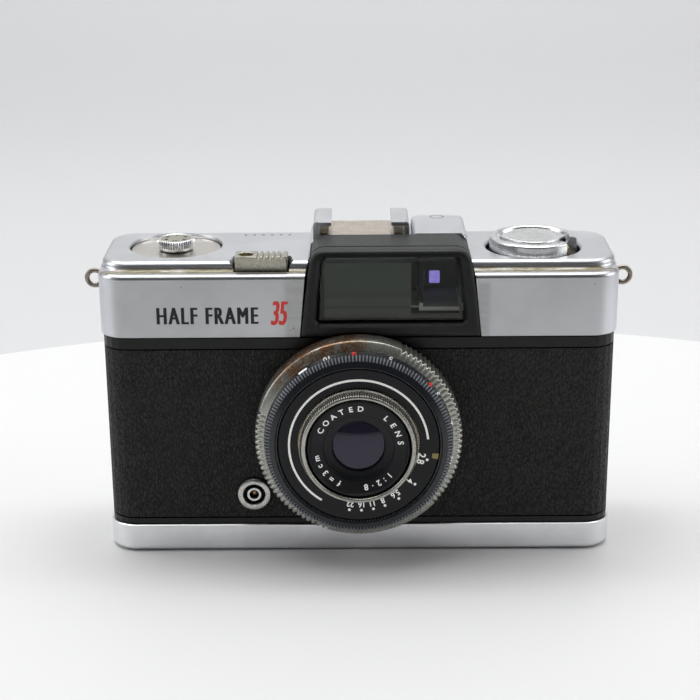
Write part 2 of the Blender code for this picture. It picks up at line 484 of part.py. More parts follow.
for k in range(5):
    y = -17.65 + 0.42 * k
    crescent(f"iris_blade_{k + 1}", y, y + 0.1, 72 * k, 7.2, 10.6, 78, STEEL)
# two shutter blades that part sideways
for k, (a0, a1) in enumerate(((-95, 95), (85, 275))):
    y = -13.95 + 0.42 * k
    prism_y(f"shutter_blade_{k + 1}", [(LX + 8.4 * math.cos(math.radians(a0 + 19 * j)), LZ + 8.4 * math.sin(math.radians(a0 + 19 * j)))
                                       for j in range(11)], y, y + 0.1, STEEL)
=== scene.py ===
import math
import bpy
import bmesh
from mathutils import Matrix, Vector


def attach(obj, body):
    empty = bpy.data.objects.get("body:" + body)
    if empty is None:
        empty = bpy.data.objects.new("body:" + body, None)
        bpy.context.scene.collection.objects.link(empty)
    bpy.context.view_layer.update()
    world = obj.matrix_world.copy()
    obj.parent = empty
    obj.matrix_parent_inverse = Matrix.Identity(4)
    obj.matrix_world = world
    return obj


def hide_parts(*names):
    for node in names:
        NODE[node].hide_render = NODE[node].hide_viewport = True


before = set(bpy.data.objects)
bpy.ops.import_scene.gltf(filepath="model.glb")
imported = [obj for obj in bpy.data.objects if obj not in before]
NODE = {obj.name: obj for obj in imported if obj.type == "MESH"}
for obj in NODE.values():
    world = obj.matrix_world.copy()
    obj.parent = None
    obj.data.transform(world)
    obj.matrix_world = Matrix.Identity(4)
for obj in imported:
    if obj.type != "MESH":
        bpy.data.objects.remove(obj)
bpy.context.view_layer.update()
MM = 0.001

# ------------------------------------------------------------------ sizes, in mm, as in the CAD
HW, YF, YB, RC = 54.5, -14.4, 14.4, 6.0
ZB, ZL0, ZL1, ZC, ZLEDGE, ZTOP, ZPLAT, ZBUMP = 6.25, 8.0, 46.1, 48.95, 62.45, 64.35, 66.1, 68.0
SKIN, YSEAM = 0.42, 7.2
L = (-0.15, 28.3)
COUNTER = (-39.2, 2.8)
REW = (37.4, 1.3)
LOCK = (-36.0, 0.5)
TRIPOD = (24.0, 0.5)
SYNC = (-22.7, 13.5)
NUM = (-19.9, 11.0)


# ------------------------------------------------------------------ materials
class Mat:
    """A node material in millimetre object coordinates."""

    def __init__(self, name, color=(0.5, 0.5, 0.5), rough=0.5, metal=0.0, **extra):
        self.m = bpy.data.materials.new(name)
        self.m.use_nodes = True
        self.t = self.m.node_tree
        self.b = self.t.nodes["Principled BSDF"]
        self.b.inputs["Base Color"].default_value = (*color, 1)
        self.b.inputs["Roughness"].default_value = rough
        self.b.inputs["Metallic"].default_value = metal
        for k, v in extra.items():
            self.b.inputs[k.replace("_", " ")].default_value = v
        tc = self.t.nodes.new("ShaderNodeTexCoord")
        self.obj = tc.outputs["Object"]
        self.mm = self.co()

    def set(self, sock, v):
        if isinstance(v, bpy.types.NodeSocket):
            self.t.links.new(v, sock)
        elif isinstance(v, (tuple, list)) and len(v) == 3 and sock.type == "RGBA":
            sock.default_value = (*v, 1)
        else:
            sock.default_value = v

    def n(self, kind, ins, out=0, **props):
        node = self.t.nodes.new("ShaderNode" + kind)
        for k, v in props.items():
            setattr(node, k, v)
        for k, v in ins.items():
            self.set(node.inputs[k], v)
        return node.outputs[out]

    def co(self, sx=1.0, sy=1.0, sz=1.0):
        return self.n("Mapping", {"Vector": self.obj, "Scale": (1000 * sx, 1000 * sy, 1000 * sz)})

    def noise(self, scale, detail=2.0, rough=0.5, co=None, out=0, w=0.0):
        return self.n("TexNoise", {"Vector": co or self.mm, "Scale": scale, "Detail": detail, "Roughness": rough, "Distortion": w}, out)

    def voro(self, scale, co=None, feature="F1", out=0, rand=1.0):
        return self.n("TexVoronoi", {"Vector": co or self.mm, "Scale": scale, "Randomness": rand}, out, feature=feature)

    def ramp(self, x, *stops):
        node = self.t.nodes.new("ShaderNodeValToRGB")
        self.t.links.new(x, node.inputs[0])
        e = node.color_ramp.elements
        while len(e) < len(stops):
            e.new(0.5)
        for el, (p, c) in zip(e, stops):
            el.position = p
            el.color = (c, c, c, 1) if isinstance(c, (int, float)) else (*c, 1)
        return node.outputs[0]

    def math(self, op, a, b=0.5, c=0.0, clamp=False):
        node = self.t.nodes.new("ShaderNodeMath")
        node.operation = op
        node.use_clamp = clamp
        for i, v in enumerate((a, b, c)):
            self.set(node.inputs[i], v)
        return node.outputs[0]

    def fit(self, x, a, b, c=0.0, d=1.0, smooth=True):
        return self.n("MapRange", {"Value": x, "From Min": a, "From Max": b, "To Min": c, "To Max": d},
                      interpolation_type="SMOOTHSTEP" if smooth else "LINEAR")

    def mix(self, fac, a, b, mode="MIX"):
        node = self.t.nodes.new("ShaderNodeMix")
        node.data_type = "RGBA"
        node.blend_type = mode
        self.set(node.inputs[0], fac)
        self.set(node.inputs[6], a)
        self.set(node.inputs[7], b)
        return node.outputs[2]

    def xyz(self):
        node = self.t.nodes.new("ShaderNodeSeparateXYZ")
        self.t.links.new(self.mm, node.inputs[0])
        return node.outputs

    def normal_z(self):
        g = self.t.nodes.new("ShaderNodeNewGeometry")
        s = self.t.nodes.new("ShaderNodeSeparateXYZ")
        self.t.links.new(g.outputs["Normal"], s.inputs[0])
        return s.outputs[2]

    def band(self, x, lo, hi, soft):
        """1 between lo and hi, falling to 0 over soft on each side."""
        return self.math("MULTIPLY", self.fit(x, lo - soft, lo), self.fit(x, hi, hi + soft, 1.0, 0.0))

    def bump(self, height, strength, dist, normal=None):
        ins = {"Height": height, "Strength": strength, "Distance": dist * MM}
        if normal:
            ins["Normal"] = normal
        return self.n("Bump", ins)

    def base(self, v):
        self.set(self.b.inputs["Base Color"], v)
        return self

    def rough(self, v):
        self.set(self.b.inputs["Roughness"], v)
        return self

    def normal(self, v):
        self.set(self.b.inputs["Normal"], v)
        return self


def satin(name, tarnish_and_shade=1.0, tint=(0.63, 0.642, 0.668), brushed=None, rough=(0.27, 0.4), front=1.0):
    """Matt chrome plate: bead-blasted grain, faint scratches, pits, yellow-brown tarnish with painted shade in the
    ledge's hollow, and brown darkening in the front corners beside the finder.
    """
    s = Mat(name, tint, 0.33, 1.0)
    x, y, z = s.xyz()
    cloud = s.noise(0.07, 3, 0.6)
    grain = s.noise(7.0, 2, 0.7)
    col = s.mix(s.fit(cloud, 0.35, 0.65), tuple(c * 0.94 for c in tint), tuple(min(1, c * 1.04) for c in tint))
    # yellow-brown tarnish in the front ledge's hollow under the plateau's edge, deepened there into painted shade;
    # brown darkening in the front corners beside the finder
    ledge = s.math("MULTIPLY", s.band(z, ZLEDGE - 0.15, ZLEDGE + 0.6, 0.2), s.band(y, -12.5, -10.6, 0.3))
    side = s.math("MULTIPLY", s.band(x, -14.5, -11.5, 1.6), s.band(z, 49, 63.5, 1.0))
    side2 = s.math("MULTIPLY", s.band(x, 25.3, 26.6, 1.2), s.band(z, 49, 60, 1.0))
    corner = s.math("MAXIMUM", s.math("MULTIPLY", side, s.fit(y, -13.0, -14.0)), s.math("MULTIPLY", side2, s.fit(y, -13.0, -14.0)))
    dark_brown_amount = s.math("MAXIMUM", s.math("MULTIPLY", ledge, 1.25), s.math("MULTIPLY", corner, 0.3))
    patch = s.fit(s.noise(1.0, 4, 0.65, co=s.co(0.22, 0.8, 1.6)), 0.3, 0.7, 0.45, 1.0)
    dark_brown_amount = s.math("MULTIPLY", s.math("MULTIPLY", dark_brown_amount, patch), tarnish_and_shade)
    col = s.mix(dark_brown_amount, col, (0.235, 0.21, 0.145))
    # fine dark pits and a few specks
    spot = s.fit(s.voro(0.32, out=0), 0.07, 0.035)
    pick = s.fit(s.noise(0.11, 1), 0.56, 0.6)
    spots = s.math("MULTIPLY", s.math("MULTIPLY", spot, pick), 0.75 * tarnish_and_shade)
    col = s.mix(spots, col, (0.12, 0.10, 0.07))
    if front < 1.0:
        # painted shade: the upright front face is coloured darker than the top, in place of the dimmer light it gets
        col = s.mix(s.fit(y, YF + 0.9, YF + 0.1), col, (front, front, front * 0.985), "MULTIPLY")
    s.base(col)
    r = s.fit(grain, 0.3, 0.7, rough[0], rough[1], False)
    r = s.math("ADD", r, s.math("MULTIPLY", dark_brown_amount, 0.25))
    scratch = s.noise(0.5, 3, 0.8, co=s.co(0.35, 1.0, 6.0))
    s.rough(s.math("ADD", r, s.fit(scratch, 0.62, 0.75, 0.0, 0.08)))
    nb = s.bump(grain, 0.18, 0.03)
    s.normal(s.bump(s.noise(0.35, 2), 0.10, 0.18, nb))
    return s.m


def nickel(name, brassing=0.0, tint=(0.60, 0.59, 0.56), dark_brown_amount=0.5, metal=1.0, lumps=0.22):
    """Bright plated brass with dirt in its grooves and worn brown patches."""
    s = Mat(name, tint, 0.25, metal)
    x, y, z = s.xyz()
    big = s.noise(0.35, 4, 0.7)
    fine = s.noise(3.0, 3, 0.7)
    col = s.mix(s.fit(big, 0.35, 0.7), tuple(c * 0.80 for c in tint), tint)
    col = s.mix(s.math("MULTIPLY", s.fit(s.noise(0.9, 5, 0.75), 0.5, 0.72), dark_brown_amount), col, (0.28, 0.245, 0.16))
    if brassing:
        zone = s.math("MULTIPLY", s.fit(x, 4.0, -1.5), s.fit(z, 38.0, 44.5))
        wear = s.math("MULTIPLY", zone, s.fit(s.noise(0.5, 5, 0.8, co=s.co(1, 1, 0.7)), 0.36, 0.56))
        wear = s.math("MULTIPLY", wear, brassing)
        col = s.mix(wear, col, (0.22, 0.115, 0.06))
        col = s.mix(s.math("MULTIPLY", wear, s.fit(fine, 0.55, 0.7)), col, (0.55, 0.42, 0.24))
    s.base(col)
    s.rough(s.fit(fine, 0.3, 0.75, 0.2, 0.42, False))
    s.normal(s.bump(s.noise(1.5, 3, 0.6), lumps, 0.06))
    return s.m


def leather(name):
    """Embossed black covering: fine wavy pebbles running up and down."""
    s = Mat(name, (0.012, 0.013, 0.012), 0.5, 0.0)
    s.b.inputs["Specular IOR Level"].default_value = 0.3
    wob = s.t.nodes.new("ShaderNodeTexNoise")
    wob.inputs["Scale"].default_value = 0.8
    wob.inputs["Detail"].default_value = 2
    s.t.links.new(s.co(1, 1, 0.6), wob.inputs["Vector"])
    shift = s.n("VectorMath", {0: wob.outputs["Color"], 1: (0.5, 0.5, 0.5)}, operation="SUBTRACT")
    shift = s.n("VectorMath", {0: shift, "Scale": 1.3}, operation="SCALE")
    co = s.n("VectorMath", {0: s.co(1.0, 1.0, 0.45), 1: shift}, operation="ADD")
    crack = s.fit(s.voro(1.75, co=co, feature="DISTANCE_TO_EDGE"), 0.0, 0.26)
    cell2 = s.voro(3.6, co=co, feature="F1")
    fine = s.noise(6.0, 3, 0.65)
    height = s.math("ADD", s.math("MULTIPLY", crack, 0.7), s.math("MULTIPLY", s.fit(cell2, 0.6, 0.0), 0.3))
    height = s.math("ADD", height, s.math("MULTIPLY", fine, 0.15))
    tone = s.fit(s.noise(0.12, 3, 0.6), 0.35, 0.7)
    col = s.mix(crack, (0.004, 0.0045, 0.0035), (0.0205, 0.0225, 0.019))
    col = s.mix(s.math("MULTIPLY", tone, 0.35), col, (0.016, 0.0175, 0.0155))
    dust = s.math("MULTIPLY", s.fit(s.voro(0.55), 0.05, 0.025), s.fit(s.noise(0.2, 1), 0.54, 0.62))
    col = s.mix(s.math("MULTIPLY", dust, 0.35), col, (0.15, 0.15, 0.14))
    s.base(col)
    s.rough(s.fit(crack, 0.0, 1.0, 0.7, 0.46, False))
    s.normal(s.bump(height, 1.0, 0.16))
    return s.m


def enamel(name, col=(0.018, 0.019, 0.019), rough=0.38, grain=0.4, dust=0.4, metal=0.0, scale=5.0, spec=0.3):
    """Black paint or anodising with a fine texture and a little dust."""
    s = Mat(name, col, rough, metal)
    s.b.inputs["Specular IOR Level"].default_value = spec
    fine = s.noise(scale, 3, 0.6)
    c = s.mix(s.fit(s.noise(0.15, 3, 0.6), 0.3, 0.7), tuple(v * 0.8 for v in col), tuple(v * 1.3 for v in col))
    specks = s.math("MULTIPLY", s.fit(s.voro(1.1), 0.09, 0.05), s.fit(s.noise(0.5, 1), 0.55, 0.62))
    c = s.mix(s.math("MULTIPLY", specks, dust), c, (0.30, 0.30, 0.28))
    s.base(c)
    s.rough(s.fit(fine, 0.3, 0.7, rough - 0.07, rough + 0.1, False))
    s.normal(s.bump(fine, grain, 0.05))
    return s.m


def flat_paint(name, col, rough=0.45):
    """Filled lettering paint, slightly uneven."""
    s = Mat(name, col, rough)
    f = s.noise(4.0, 3, 0.6)
    s.base(s.mix(s.fit(f, 0.3, 0.75), tuple(v * 0.82 for v in col), tuple(min(1, v * 1.05) for v in col)))
    s.rough(s.fit(f, 0.3, 0.7, rough - 0.08, rough + 0.1, False))
    s.normal(s.bump(f, 0.15, 0.03))
    return s.m


def steel(name, tint=(0.5, 0.49, 0.47), rough=0.34, rust=0.0):
    s = Mat(name, tint, rough, 1.0)
    f = s.noise(2.2, 4, 0.7)
    col = s.mix(s.fit(f, 0.35, 0.7), tuple(v * 0.7 for v in tint), tint)
    if rust:
        col = s.mix(s.math("MULTIPLY", s.fit(s.noise(0.8, 4, 0.7), 0.42, 0.65), rust), col, (0.17, 0.12, 0.075))
    s.base(col)
    s.rough(s.fit(f, 0.3, 0.7, rough - 0.08, rough + 0.12, False))
    s.normal(s.bump(f, 0.2, 0.04))
    return s.m


def glass(name, tint=(1, 1, 1), rough=0.02, spec=(1, 1, 1), ior=1.5):
    s = Mat(name, tint, rough, 0.0, IOR=ior)
    s.b.inputs["Transmission Weight"].default_value = 1.0
    s.b.inputs["Specular Tint"].default_value = (*spec, 1)
    f = s.noise(0.8, 3, 0.6)
    s.rough(s.fit(f, 0.55, 0.8, rough, rough + 0.03, False))
    return s.m


def rib_material():
    """Black anodising whose rib crests carry a painted cool grey highlight."""
    s = Mat("focus_rib_black", (0.009, 0.011, 0.014), 0.28, 0.0)
    x, y, z = s.xyz()
    a = s.math("ARCTAN2", s.math("SUBTRACT", z, L[1]), s.math("SUBTRACT", x, L[0]))
    # painted highlight: rib crests within the knurl belt are coloured cool grey where they would catch the light,
    # broken into patches by noise
    crest = s.fit(s.math("COSINE", s.math("MULTIPLY", a, 168.0)), 0.15, -0.7)
    belt = s.band(y, -23.72, -22.45, 0.08)
    worn = s.fit(s.noise(0.3, 3, 0.6), 0.25, 0.75, 0.55, 1.0, False)
    mask = s.math("MULTIPLY", s.math("MULTIPLY", crest, belt), worn)
    s.base(s.mix(mask, (0.009, 0.011, 0.014), (0.17, 0.19, 0.225)))
    s.rough(s.fit(mask, 0.0, 1.0, 0.26, 0.42, False))
    s.normal(s.bump(s.noise(5.0, 2), 0.12, 0.03))
    return s.m


M = {}
M["satin"] = satin("satin_chrome_look", front=0.8)
M["satin_base"] = satin("satin_chrome_base", tarnish_and_shade=0.5, tint=(0.84, 0.845, 0.86))
M["disc"] = satin("counter_disc_look", tarnish_and_shade=0.3, tint=(0.62, 0.59, 0.54), rough=(0.2, 0.3))
M["knob"] = nickel("polished_knob", tint=(0.72, 0.725, 0.73), dark_brown_amount=0.1, lumps=0.05)
M["nickel"] = nickel("worn_nickel", brassing=1.0, tint=(0.42, 0.425, 0.385), dark_brown_amount=0.6, metal=0.75)
M["ringd"] = nickel("plated_front_ring", tint=(0.46, 0.45, 0.41), dark_brown_amount=0.75)
M["plated"] = nickel("plated_trim", tint=(0.62, 0.61, 0.58), dark_brown_amount=0.5)
M["block"] = nickel("release_block_plate", tint=(0.48, 0.465, 0.39), dark_brown_amount=0.6)
M["leather"] = leather("leatherette_grain")
M["paint"] = enamel("semi_gloss_black", rough=0.36)
M["band"] = enamel("band_black", col=(0.0065, 0.007, 0.007), rough=0.36, dust=0.25)
M["bezel"] = enamel("bezel_black", col=(0.0075, 0.009, 0.008), rough=0.42, grain=0.75, dust=0.7, scale=2.6)
M["knurl"] = enamel("knurl_black", col=(0.009, 0.011, 0.014), rough=0.26, grain=0.12, dust=0.12, metal=0.0)
M["ribs"] = rib_material()
M["face"] = enamel("lens_face_black", col=(0.0045, 0.005, 0.0065), rough=0.4, grain=0.12, dust=0.2)
M["deep"] = enamel("inner_black", col=(0.003, 0.003, 0.003), rough=0.6, dust=0.05)
M["cast"] = enamel("cast_black", col=(0.006, 0.0065, 0.0065), rough=0.34, grain=0.3, dust=0.2)
M["white"] = flat_paint("white_fill_glowing", (0.92, 0.92, 0.88))
# painted light: the white fill glows faintly by emission, so that it reads brighter than its lighting makes it
wb = M["white"].node_tree.nodes["Principled BSDF"]
wb.inputs["Emission Color"].default_value = (1.0, 0.99, 0.95, 1)
wb.inputs["Emission Strength"].default_value = 0.22
M["red"] = flat_paint("red_fill_glowing", (0.55, 0.03, 0.02))
# painted light: the red fill glows faintly by emission
rb0 = M["red"].node_tree.nodes["Principled BSDF"]
rb0.inputs["Emission Color"].default_value = (0.8, 0.05, 0.04, 1)
rb0.inputs["Emission Strength"].default_value = 0.2
M["ink"] = flat_paint("black_fill", (0.004, 0.004, 0.004), 0.5)
M["gold"] = flat_paint("gold_mark", (0.40, 0.30, 0.09), 0.35)
M["steel"] = steel("steel_look")
M["lug"] = steel("lug_steel", tint=(0.42, 0.38, 0.33), rust=0.8)
M["dark_steel"] = enamel("blackened_steel", col=(0.008, 0.008, 0.009), rough=0.45, dust=0.05, spec=0.25)
M["brass"] = steel("brass_look", tint=(0.62, 0.45, 0.2), rough=0.3)
M["shoe_floor"] = nickel("shoe_floor_plate_look", tint=(0.66, 0.58, 0.50), dark_brown_amount=0.35)
M["shoe_spring"] = nickel("shoe_spring_look", tint=(0.36, 0.31, 0.20), dark_brown_amount=0.6)
M["insulator"] = enamel("terminal_insulator", col=(0.12, 0.03, 0.012), rough=0.4, dust=0.1)


def exit_material():
    s = Mat("finder_exit_glow", (0.30, 0.25, 0.75), 0.3)
    x, y, z = s.xyz()
    f = s.fit(s.noise(1.5, 2), 0.3, 0.7)
    col = s.mix(f, (0.24, 0.19, 0.62), (0.30, 0.25, 0.74))
    s.base(col)
    s.set(s.b.inputs["Emission Color"], col)
    s.b.inputs["Emission Strength"].default_value = 0.85
    return s.m


def mask_material():
    """Grey-green plate behind the finder glass, with the soft lighter bands of its lower part."""
    s = Mat("finder_plate_look", (0.03, 0.035, 0.03), 0.5)
    x, y, z = s.xyz()
    top = (0.056, 0.068, 0.056)
    low = (0.085, 0.082, 0.074)
    col = s.mix(s.fit(z, 60.5, 57.5), top, (0.046, 0.054, 0.046))
    col = s.mix(s.band(z, 55.9, 57.2, 0.35), col, (0.074, 0.075, 0.067))
    col = s.mix(s.band(z, 50.0, 54.8, 0.25), col, low)
    edge = s.math("MAXIMUM", s.fit(x, -6.9, -7.3), s.fit(z, 64.7, 65.0))
    col = s.mix(edge, col, (0.006, 0.007, 0.006))
    specks = s.math("MULTIPLY", s.fit(s.voro(0.75), 0.10, 0.06), s.fit(s.noise(0.3, 1), 0.5, 0.6))
    col = s.mix(s.math("MULTIPLY", specks, 0.55), col, (0.28, 0.30, 0.27))
    s.base(col)
    s.normal(s.bump(s.noise(3.0, 2), 0.1, 0.04))
    return s.m


def tunnel_material():
    s = Mat("finder_tunnel_look", (0.01, 0.01, 0.01), 0.7)
    s.b.inputs["Specular IOR Level"].default_value = 0.12
    x, y, z = s.xyz()
    # painted light: the floor towards the front window is pale and streaked, standing in for light that falls into the
    # finder
    floor = s.math("MULTIPLY", s.fit(z, 56.0, 55.7), s.fit(y, 3.5, -3.5))
    stripe = s.math("ADD", 0.72, s.math("MULTIPLY", s.fit(s.noise(0.5, 1, co=s.co(0.05, 1, 0.05)), 0.35, 0.65), 0.5))
    col = s.mix(floor, (0.008, 0.008, 0.009), s.mix(stripe, (0.20, 0.20, 0.185), (0.62, 0.61, 0.56)))
    s.base(col)
    s.normal(s.bump(s.noise(3.0, 2), 0.1, 0.03))
    return s.m


M["exit"] = exit_material()
M["plate"] = mask_material()
M["tunnel"] = tunnel_material()
M["window"] = glass("window_glass", (0.9, 0.93, 0.9), 0.012, (0.6, 0.62, 0.6), 1.3)
M["clear"] = glass("inner_clear_glass", (0.95, 0.96, 0.95), 0.012, (0.5, 0.5, 0.5), 1.02)
M["optic"] = glass("coated_glass_look", (0.05, 0.048, 0.08), 0.02, (0.86, 0.84, 1.0), 1.52)
M["optic"].node_tree.nodes["Principled BSDF"].inputs["Transmission Weight"].default_value = 0.6
M["optic2"] = glass("inner_glass_look", (0.6, 0.62, 0.8), 0.02, (0.5, 0.45, 1.0), 1.25)


# ------------------------------------------------------------------ geometry helpers
def to_object(bm, name):
    bmesh.ops.recalc_face_normals(bm, faces=bm.faces)
    me = bpy.data.meshes.new(name)
    bm.to_mesh(me)
    bm.free()
    o = bpy.data.objects.new(name, me)
    bpy.context.scene.collection.objects.link(o)
    return o


def loft(name, loops, closed=False):
    bm = bmesh.new()
    rows = [[bm.verts.new(Vector(p) * MM) for p in loop] for loop in loops]
    n = len(rows[0])
    pairs = list(zip(rows, rows[1:]))
    if closed:
        pairs.append((rows[-1], rows[0]))
    for a, b in pairs:
        for i in range(n):
            j = (i + 1) % n
            bm.faces.new((a[i], a[j], b[j], b[i]))
    if not closed:
        bm.faces.new(rows[0][::-1])
        bm.faces.new(rows[-1])
    return to_object(bm, name)


def rounded(x0, x1, y0, y1, rf, rb, seg):
    pts = []
    for cx, cy, a0, rr in ((x1 - rb, y1 - rb, 0, rb), (x0 + rb, y1 - rb, 90, rb), (x0 + rf, y0 + rf, 180, rf), (x1 - rf, y0 + rf, 270, rf)):
        for k in range(seg + 1):
            a = math.radians(a0 + 90 * k / seg)
            pts.append((cx + rr * math.cos(a), cy + rr * math.sin(a)))
    return pts


def slab(name, x0, x1, y0, y1, r, layers, seg=12, front=None):
    """layers: (z, inset) or (z, side inset, front inset, back inset)."""
    loops = []
    for la in layers:
        z, ds = la[0], la[1]
        df, db = (la[2], la[3]) if len(la) > 2 else (ds, ds)
        rb = max(r - ds, 0.12)
        rf = max((front or r) - ds, 0.12)
        loops.append([(x, y, z) for x, y in rounded(x0 + ds, x1 - ds, y0 + df, y1 - db, rf, rb, seg)])
    return loft(name, loops)


def fillet_top(z, r, n=5, inset=0.0):
    """Layers of a rounded top edge of radius r that ends at height z."""
    return [(z - r + r * math.sin(math.radians(90 * k / n)), inset + r * (1 - math.cos(math.radians(90 * k / n)))) for k in range(n + 1)]


def fillet_bottom(z, r, n=5, inset=0.0):
    return [(z + r - r * math.sin(math.radians(90 * k / n)), inset + r * (1 - math.cos(math.radians(90 * k / n)))) for k in range(n, -1, -1)]


def block(name, x0, x1, y0, y1, z0, z1):
    return loft(name, [[(x0, y0, z), (x1, y0, z), (x1, y1, z), (x0, y1, z)] for z in (z0, z1)])


def prism_y(name, outline, ys):
    """ys: list of (y, inset towards the outline's centre)."""
    cx = sum(p[0] for p in outline) / len(outline)
    cz = sum(p[1] for p in outline) / len(outline)
    loops = []
    for y, d in ys:
        pts = offset(outline, d) if d else outline
        loops.append([(x, y, z) for x, z in pts])
    return loft(name, loops)


def offset(pts, d):
    """Moves a convex counter-clockwise outline inwards by d."""
    out, n = [], len(pts)
    area = sum(pts[i][0] * pts[(i + 1) % n][1] - pts[(i + 1) % n][0] * pts[i][1] for i in range(n))
    s = 1 if area > 0 else -1
    for i in range(n):
        a, b, c = Vector(pts[i - 1]), Vector(pts[i]), Vector(pts[(i + 1) % n])
        e1, e2 = (b - a), (c - b)
        e1 = e1.normalized() if e1.length > 1e-9 else e2.normalized()
        e2 = e2.normalized() if e2.length > 1e-9 else e1
        n1, n2 = Vector((-e1.y, e1.x)) * s, Vector((-e2.y, e2.x)) * s
        m = (n1 + n2)
        m = m / max(m.length_squared, 1e-9) * 2
        if m.length > 2.2:
            m = m.normalized() * 2.2
        out.append(tuple(b + m * d))
    return out


def round_corners(pts, radii, seg=6):
    """Rounds each corner of a closed outline with its own radius."""
    out, n = [], len(pts)
    for i in range(n):
        a, b, c = Vector(pts[i - 1]), Vector(pts[i]), Vector(pts[(i + 1) % n])
        r = radii[i]
        if r <= 0:
            out.append(tuple(b))
            continue
        u, v = (a - b).normalized(), (c - b).normalized()
        half = math.acos(max(-1, min(1, u.dot(v)))) / 2
        t = min(r / math.tan(half), (a - b).length * 0.49, (c - b).length * 0.49)
        rr = t * math.tan(half)
        centre = b + (u + v).normalized() * (rr / math.sin(half))
        p0, p1 = b + u * t - centre, b + v * t - centre
        ang0 = math.atan2(p0.y, p0.x)
        d = math.atan2(p0.x * p1.y - p0.y * p1.x, p0.dot(p1))
        for k in range(seg + 1):
            a2 = ang0 + d * k / seg
            out.append((centre.x + rr * math.cos(a2), centre.y + rr * math.sin(a2)))
    return out


def turn(name, profile, axis, centre, seg=64, wave=None):
    """Closed profile of (radius, height) about an axis. wave(angle in degrees, index, r) gives the radius."""
    bm = bmesh.new()
    cols = []
    for k in range(seg):
        a = 2 * math.pi * k / seg
        col = []
        for i, p in enumerate(profile):
            r, h = p[0], p[1]
            if r <= 1e-6 and k:
                col.append(cols[0][i])
                continue
            rr = r if wave is None else wave(math.degrees(a), i, r)
            c, s = rr * math.cos(a), rr * math.sin(a)
            q = (centre[0] + c, centre[1] + s, h) if axis == "Z" else (centre[0] + c, h, centre[1] + s)
            col.append(bm.verts.new(Vector(q) * MM))
        cols.append(col)
    m = len(profile)
    for k in range(seg):
        a, b = cols[k], cols[(k + 1) % seg]
        for i in range(m):
            j = (i + 1) % m
            vs = []
            for v in (a[i], b[i], b[j], a[j]):
                if v not in vs:
                    vs.append(v)
            if len(vs) >= 3:
                bm.faces.new(vs)
    return to_object(bm, name)


def torus(name, centre, axis, R, r, seg=48, sub=12):
    """A ring of round section. axis is 'X', 'Y' or 'Z'."""
    loops = []
    for k in range(seg):
        a = 2 * math.pi * k / seg
        loop = []
        for j in range(sub):
            b = 2 * math.pi * j / sub
            u, v, w = (R + r * math.cos(b)) * math.cos(a), (R + r * math.cos(b)) * math.sin(a), r * math.sin(b)
            d = {"Z": (u, v, w), "Y": (u, w, v), "X": (w, u, v)}[axis]
            loop.append((centre[0] + d[0], centre[1] + d[1], centre[2] + d[2]))
        loops.append(loop)
    return loft(name, loops, closed=True)


def tube_path(name, pts, r, sub=8):
    """A round wire through points, in mm."""
    loops = []
    vs = [Vector(p) for p in pts]
    up = Vector((0, 0, 1))
    for i, p in enumerate(vs):
        t = (vs[min(i + 1, len(vs) - 1)] - vs[max(i - 1, 0)]).normalized()
        u = t.cross(up)
        u = u.normalized() if u.length > 1e-4 else Vector((1, 0, 0))
        w = t.cross(u).normalized()
        loops.append([tuple(p + (u * math.cos(2 * math.pi * k / sub) + w * math.sin(2 * math.pi * k / sub)) * r) for k in range(sub)])
    return loft(name, loops)


def baked(o):
    dg = bpy.context.evaluated_depsgraph_get()
    me = bpy.data.meshes.new_from_object(o.evaluated_get(dg))
    o.modifiers.clear()
    old = o.data
    o.data = me
    return o


def cut(o, *cutters, op="DIFFERENCE"):
    for c in cutters:
        m = o.modifiers.new("b", "BOOLEAN")
        m.operation, m.object, m.solver = op, c, "EXACT"
        bpy.context.view_layer.update()
        baked(o)
        bpy.data.objects.remove(c, do_unlink=True)
    return o


def join(name, objs):
    bm = bmesh.new()
    for o in objs:
        bm.from_mesh(o.data)
    me = bpy.data.meshes.new(name)
    bm.to_mesh(me)
    bm.free()
    for o in objs:
        bpy.data.objects.remove(o, do_unlink=True)
    o = bpy.data.objects.new(name, me)
    bpy.context.scene.collection.objects.link(o)
    return o


def piece(o, body, slot, mat, *replaced, angle=35, bevel=0.0, weighted=True):
    o.data.materials.clear()
    o.data.materials.append(M[mat])
    for p in o.data.polygons:
        p.material_index = 0
    if bevel:
        b = o.modifiers.new("edge", "BEVEL")
        b.width, b.segments, b.limit_method, b.angle_limit = bevel * MM, 2, "ANGLE", math.radians(40)
        b.harden_normals = False
        bpy.context.view_layer.update()
        baked(o)
    o.data.shade_smooth()
    o.data.set_sharp_from_angle(angle=math.radians(angle))
    if weighted:
        w = o.modifiers.new("wn", "WEIGHTED_NORMAL")
        w.keep_sharp = True
        w.weight = 100
    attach(o, body)
    if replaced:
        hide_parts(*replaced)
    return o


FONT_CACHE = {}


def glyph(text, size, depth=0.3, shear=0.0, spacing=1.0, bold=0.0):
    """Text as a mesh centred on its own box, x right, y up, in metres."""
    cu = bpy.data.curves.new("txt", "FONT")
    cu.body = text
    cu.size = size * MM
    cu.shear = shear
    cu.space_character = spacing
    cu.align_x = "CENTER"
    cu.align_y = "CENTER"
    cu.resolution_u = 4
    cu.offset = bold * MM
    o = bpy.data.objects.new("txt", cu)
    bpy.context.scene.collection.objects.link(o)
    bpy.context.view_layer.update()
    dg = bpy.context.evaluated_depsgraph_get()
    me = bpy.data.meshes.new_from_object(o.evaluated_get(dg))
    bpy.data.objects.remove(o, do_unlink=True)
    bm = bmesh.new()
    bm.from_mesh(me)
    bmesh.ops.remove_doubles(bm, verts=bm.verts, dist=1e-6)
    if bm.verts:
        xs = [v.co.x for v in bm.verts]
        ys = [v.co.y for v in bm.verts]
        mid = Vector(((min(xs) + max(xs)) / 2, (min(ys) + max(ys)) / 2, 0))
        for v in bm.verts:
            v.co -= mid
        geo = bmesh.ops.extrude_face_region(bm, geom=list(bm.faces))
        for v in [g for g in geo["geom"] if isinstance(g, bmesh.types.BMVert)]:
            v.co.z += depth * MM
        bmesh.ops.recalc_face_normals(bm, faces=bm.faces)
    bm.to_mesh(me)
    bm.free()
    return me


